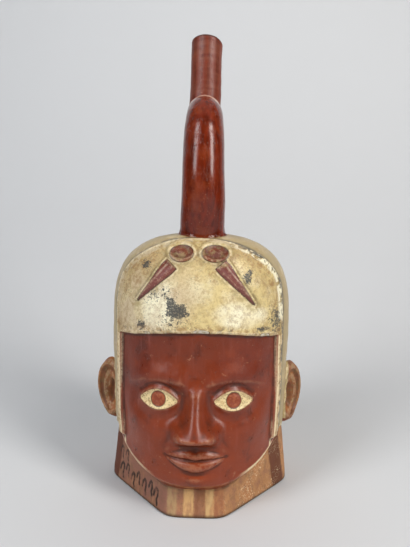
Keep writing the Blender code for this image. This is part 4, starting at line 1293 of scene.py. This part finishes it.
    # Bare and washed clay of the neck, with its stripes, side bands, hooks, pale flecks and painted shade
    # along its lower edge
    neck = mix(between(aside, -0.020, 0.020), NECK_ROSE, NECK_TAN)
    neck = lay(neck, NECK_ORANGE, between(cloud, 0.42, 0.64), between(across, -0.03, 0.01, 0.25, 0.6))
    neck = lay(neck, NECK_DULL, between(blotch, 0.48, 0.60), 0.50)
    neck = lay(neck, NECK_ROSE, between(cloud, 0.46, 0.34), 0.45)
    neck = lay(neck, WARM_DIRT_AND_SHADE, between(speck, 0.58, 0.66), 0.35)
    neck = lay(neck, NECK_PALE, between(strokes, 0.45, 0.80), between(cloud, 0.36, 0.56), 0.40)
    stripe_place = plus(across, times(wobble, 1.6))
    for start, end, colour, strength in STRIPES:
        neck = lay(neck, colour, between(stripe_place, start - STRIPE_SOFT, start + STRIPE_SOFT),
                   between(stripe_place, end + STRIPE_SOFT, end - STRIPE_SOFT),
                   between(forward, -0.030, -0.040), blend(between(strokes, 0.35, 0.6), 0.35, 1.0), strength)
    corner = between(across, -0.01, 0.01, BASE_CORNER_FORWARD + 0.001, BASE_CORNER_FORWARD + 0.0075)
    from_corner = n.math("ABSOLUTE", plus(plus(forward, corner), wobble))
    neck = lay(neck, NECK_BAND, between(from_corner, 0.0058, 0.0044),
               between(height, CLOTH_LOW + 0.004, CLOTH_LOW - 0.002), blend(cloud, 0.75, 1.0))
    neck = lay(neck, CURL, inside("curls", soft=0.00040, waver=0.8),
               blend(between(blotch, 0.38, 0.54), 0.40, 0.95))
    neck = lay(neck, CREAM_PALE, between(speck, 0.56, 0.62), between(cloud, 0.45, 0.55),
               between(across, 0.012, 0.028), between(forward, 0.0, -0.03), 0.8)
    # painted shade along the foot's lower edge
    neck = lay(neck, WARM_DIRT_AND_SHADE, between(plus(height, wobble), 0.0026, 0.0008), blend(cloud, 0.7, 1.0))

    ears = mix(between(cloud, 0.38, 0.66), EAR_BROWN, EAR_ORANGE)
    ears = lay(ears, EAR_OLIVE, between(blotch, 0.46, 0.64), 0.65)
    lobes = mix(between(cloud, 0.4, 0.6), CREAM_TAN, CREAM_YELLOW)
    ears = lay(ears, lobes, inside("lobe", soft=0.0012, waver=2.0), 0.8)

    # Discs and bands: rosier on the bands, and worn to the cream on the discs
    trims = mix(between(cloud, 0.40, 0.66), TRIM, TRIM_DARK)
    trims = lay(trims, TRIM_ROSE, between(height, 0.148, 0.145), 0.8)
    trims = lay(trims, CREAM_OLIVE, between(blotch, 0.48, 0.62), between(height, 0.145, 0.148), 0.5)
    trims = lay(trims, TRIM_PALE, between(grain, 0.50, 0.62), between(speck, 0.40, 0.60), 0.55)

    # Lay the areas over each other, with the pale lines beside the face, along the jaw and round the trims
    colour = mix(cloth, mix(jaw, neck, red), cream)
    colour = lay(colour, CREAM_PALE, line("face_side", -0.0004, 0.0011, 0.6), between(over_edge, 0.0, -0.001),
                 jaw, between(grain, 0.34, 0.44), 0.85)
    colour = lay(colour, CREAM_PALE, line("jaw", 0.0036, 0.0015, 0.8),
                 between(n.math("ABSOLUTE", across), 0.024, 0.034), front, between(face_side, -0.004, 0.0),
                 blend(between(blotch, 0.32, 0.46), 0.35, 1.0), between(across, -0.02, 0.02, 0.55, 0.95))
    colour = lay(colour, CREAM_PALE, line("trim", -0.0008, 0.0009), between(grain, 0.40, 0.60), 0.5)
    colour = mix(trim, colour, trims)
    colour = lay(colour, DIRT, line("trim", 0.0, 0.0005), between(grain, 0.36, 0.48), 0.7)
    colour = mix(ear, colour, ears)

    eye = mix(between(grain, 0.52, 0.68), EYE_CREAM, EYE_DULL)
    eye = lay(eye, EYE_SPECK, between(speck, 0.54, 0.62), 0.7)
    eye = mix(iris, eye, mix(between(grain, 0.45, 0.65), IRIS_RED, IRIS_LIGHT))
    eye = lay(eye, WARM_DIRT_AND_SHADE, line("iris", 0.0, 0.00042), white, 0.7)
    colour = mix(white, colour, eye)
    colour = lay(colour, DIRT, between(field("lid"), -0.0006, -0.0001), between(grain, 0.34, 0.46), 0.75)
    colour = mix(stirrup, colour, tube)
    at_foot = between(height, ARCH_FOOT_Z + 0.008, ARCH_FOOT_Z + 0.005)
    colour = lay(colour, CREAM_BROWN, line("stirrup", -0.0010, 0.0009, 0.4), at_foot, blend(grain, 0.2, 1.0),
                 0.75)

    # Darker in the hollows, pale wear on the ridges, and chips and old dirt along the right seam
    hollow = field("hollow")
    plain = minus(1.0, larger(stirrup, between(height, 0.0170, 0.0120)))
    darker_in_hollows = times(between(hollow, 0.00003, 0.00022), blend(between(blotch, 0.30, 0.60), 0.30, 0.85),
                  blend(white, 1.0, 0.15), plain, blend(cloth, 0.75, 0.50))
    colour = mix(darker_in_hollows, colour, mix(cloth, DIRT, WARM_DIRT_AND_SHADE))
    worn = times(between(hollow, -0.00004, -0.00020), between(grain, 0.34, 0.58), blend(cloth, 0.30, 0.55),
                 blend(ear, 1.0, 0.35), plain, blend(by_trim, 1.0, 0.35))
    colour = mix(worn, colour, mix(cloth, RED_PALE, CREAM_PALE))
    rightward = between(across, 0.015, 0.035, 0.30, 1.0)
    on_cloth = times(cloth, minus(1.0, stirrup), front)
    colour = lay(colour, CREAM_BRIGHT, line("seam", 0.0042, 0.0030, 1.6),
                 between(plus(blotch, times(grain, 0.3)), 0.60, 0.66), rightward, on_cloth,
                 between(height, 0.112, 0.118), 0.85)
    colour = lay(colour, SOOT_AND_SHADE_COLOUR, line("seam", 0.0019, 0.0030, 1.2),
                 between(minus(times(grain, 0.3), blotch), -0.38, -0.33), rightward, on_cloth,
                 between(height, 0.048, 0.056), 0.85)
    n.put(n.shader.inputs["Base Color"], colour)

    # Sheen: the burnished slips are semi-gloss, the cream a little duller, the bare clay matt
    rough = blend(cloth, blend(jaw, 0.70, 0.32), 0.37)
    rough = blend(ear, rough, 0.44)
    rough = blend(larger(trim, white), rough, 0.36)
    rough = blend(stirrup, rough, blend(spout, 0.19, 0.43))
    rough = plus(rough, times(minus(cloud, 0.5), blend(stirrup, 0.26, 0.16)))
    rough = plus(rough, times(minus(strokes, 0.5), 0.14))
    n.put(n.shader.inputs["Roughness"], n.math("ADD", rough, times(darker_in_hollows, 0.25), clamp=True))
    n.shader.inputs["Specular IOR Level"].default_value = 0.42

    # Relief too fine for the mesh: grain, brush strokes, pits and flaked slip
    pits = times(between(speck, 0.60, 0.70), blend(stirrup, 0.7, 0.25))
    flakes = times(between(blotch, 0.56, 0.62), blend(cloth, 0.3, 1.0))
    relief = plus(times(grain, blend(stirrup, 0.45, 0.14)), times(strokes, blend(stirrup, 0.18, 0.24)))
    relief = minus(minus(relief, times(pits, 0.5)), times(flakes, 0.4))
    bump = n.add("ShaderNodeBump")
    bump.inputs["Strength"].default_value = 0.8
    bump.inputs["Distance"].default_value = BUMP_HEIGHT
    n.put(bump.inputs["Height"], relief)
    n.put(n.shader.inputs["Normal"], bump.outputs[0])
    return material


def plain_material(name, colour, rough):
    material = bpy.data.materials.new(name)
    material.use_nodes = True
    shader = material.node_tree.nodes["Principled BSDF"]
    shader.inputs["Base Color"].default_value = colour
    shader.inputs["Roughness"].default_value = rough
    shader.inputs["Specular IOR Level"].default_value = 0.2
    return material


def make_sweep():
    """A plain pale floor that curves up into a plain backdrop."""
    mesh = bpy.data.meshes.new("sweep")
    bm = bmesh.new()
    bmesh.ops.create_grid(bm, x_segments=2, y_segments=64, size=1.0)
    for vert in bm.verts:
        run = (vert.co.y + 1) / 2 * (SWEEP_FRONT + SWEEP_BACK + SWEEP_TOP) - SWEEP_FRONT
        past = run - SWEEP_BACK
        turn = min(max(past / SWEEP_ROUND, 0.0), pi / 2)
        y = min(run, SWEEP_BACK) + SWEEP_ROUND * sin(turn)
        z = SWEEP_ROUND * (1 - cos(turn)) + max(past - SWEEP_ROUND * pi / 2, 0.0)
        vert.co = (vert.co.x * SWEEP_WIDTH / 2, y, z)
    keep_mesh(bm, mesh)
    mesh.shade_smooth()
    material = plain_material("sweep", SWEEP_COLOUR, 0.85)
    sweep = finish_object("sweep", mesh, bpy.context.scene.collection, material)
    sweep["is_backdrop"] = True


def make_light(name, place, target, size, power, colour):
    data = bpy.data.lights.new(name, "AREA")
    data.shape = "RECTANGLE"
    data.size, data.size_y = size
    data.energy = power
    data.color = colour
    lamp = bpy.data.objects.new(name, data)
    lamp.location = place
    lamp.rotation_euler = (Vector(target) - Vector(place)).to_track_quat("-Z", "Y").to_euler()
    bpy.context.scene.collection.objects.link(lamp)


def make_studio():
    make_sweep()
    for light in LIGHTS:
        make_light(*light)
    world = bpy.data.worlds.new("studio")
    world.use_nodes = True
    background = world.node_tree.nodes["Background"]
    background.inputs["Color"].default_value = WORLD_COLOUR
    background.inputs["Strength"].default_value = WORLD_STRENGTH
    bpy.context.scene.world = world
    bpy.context.scene.view_settings.view_transform = "Standard"


def make_camera():
    """The photograph's view: a level camera close in front, about half as high as the vessel."""
    data = bpy.data.cameras.new("camera")
    data.sensor_fit = "VERTICAL"
    data.sensor_height = SENSOR_HEIGHT
    data.lens = SENSOR_HEIGHT * CAMERA_FOCAL / PICTURE_HEIGHT
    data.clip_start = 0.01
    camera = bpy.data.objects.new("camera", data)
    turn = radians(CAMERA_TURN)
    x, y = CAMERA_DISTANCE * sin(turn) + CAMERA_ASIDE, -CAMERA_DISTANCE * cos(turn)
    camera.location = (x, y, CAMERA_HEIGHT)
    camera.rotation_euler = (pi / 2, radians(CAMERA_ROLL), turn)
    bpy.context.scene.collection.objects.link(camera)
    bpy.context.scene.camera = camera


def make_vessel():
    vessel = build_solid()
    mesh = vessel.data
    soften_joints(mesh)
    fields = paint_fields(rows_of(mesh, "co"))
    add_swells(mesh)
    fields["hollow"] = hollowness(mesh)
    fields["crest"] = crest_field(mesh)
    for name, values in fields.items():
        keep_field(mesh, name, values)
    mesh.materials.clear()
    mesh.materials.append(painted_clay())
    mesh.shade_smooth()
    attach(vessel, "root")
    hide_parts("vessel")


def write_sizes():
    boxes = {"cad": CAD_BOX, "visual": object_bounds()}
    {name: [list(corner) for corner in box] for name, box in boxes.items()}


make_vessel()
make_studio()
make_camera()
write_sizes()
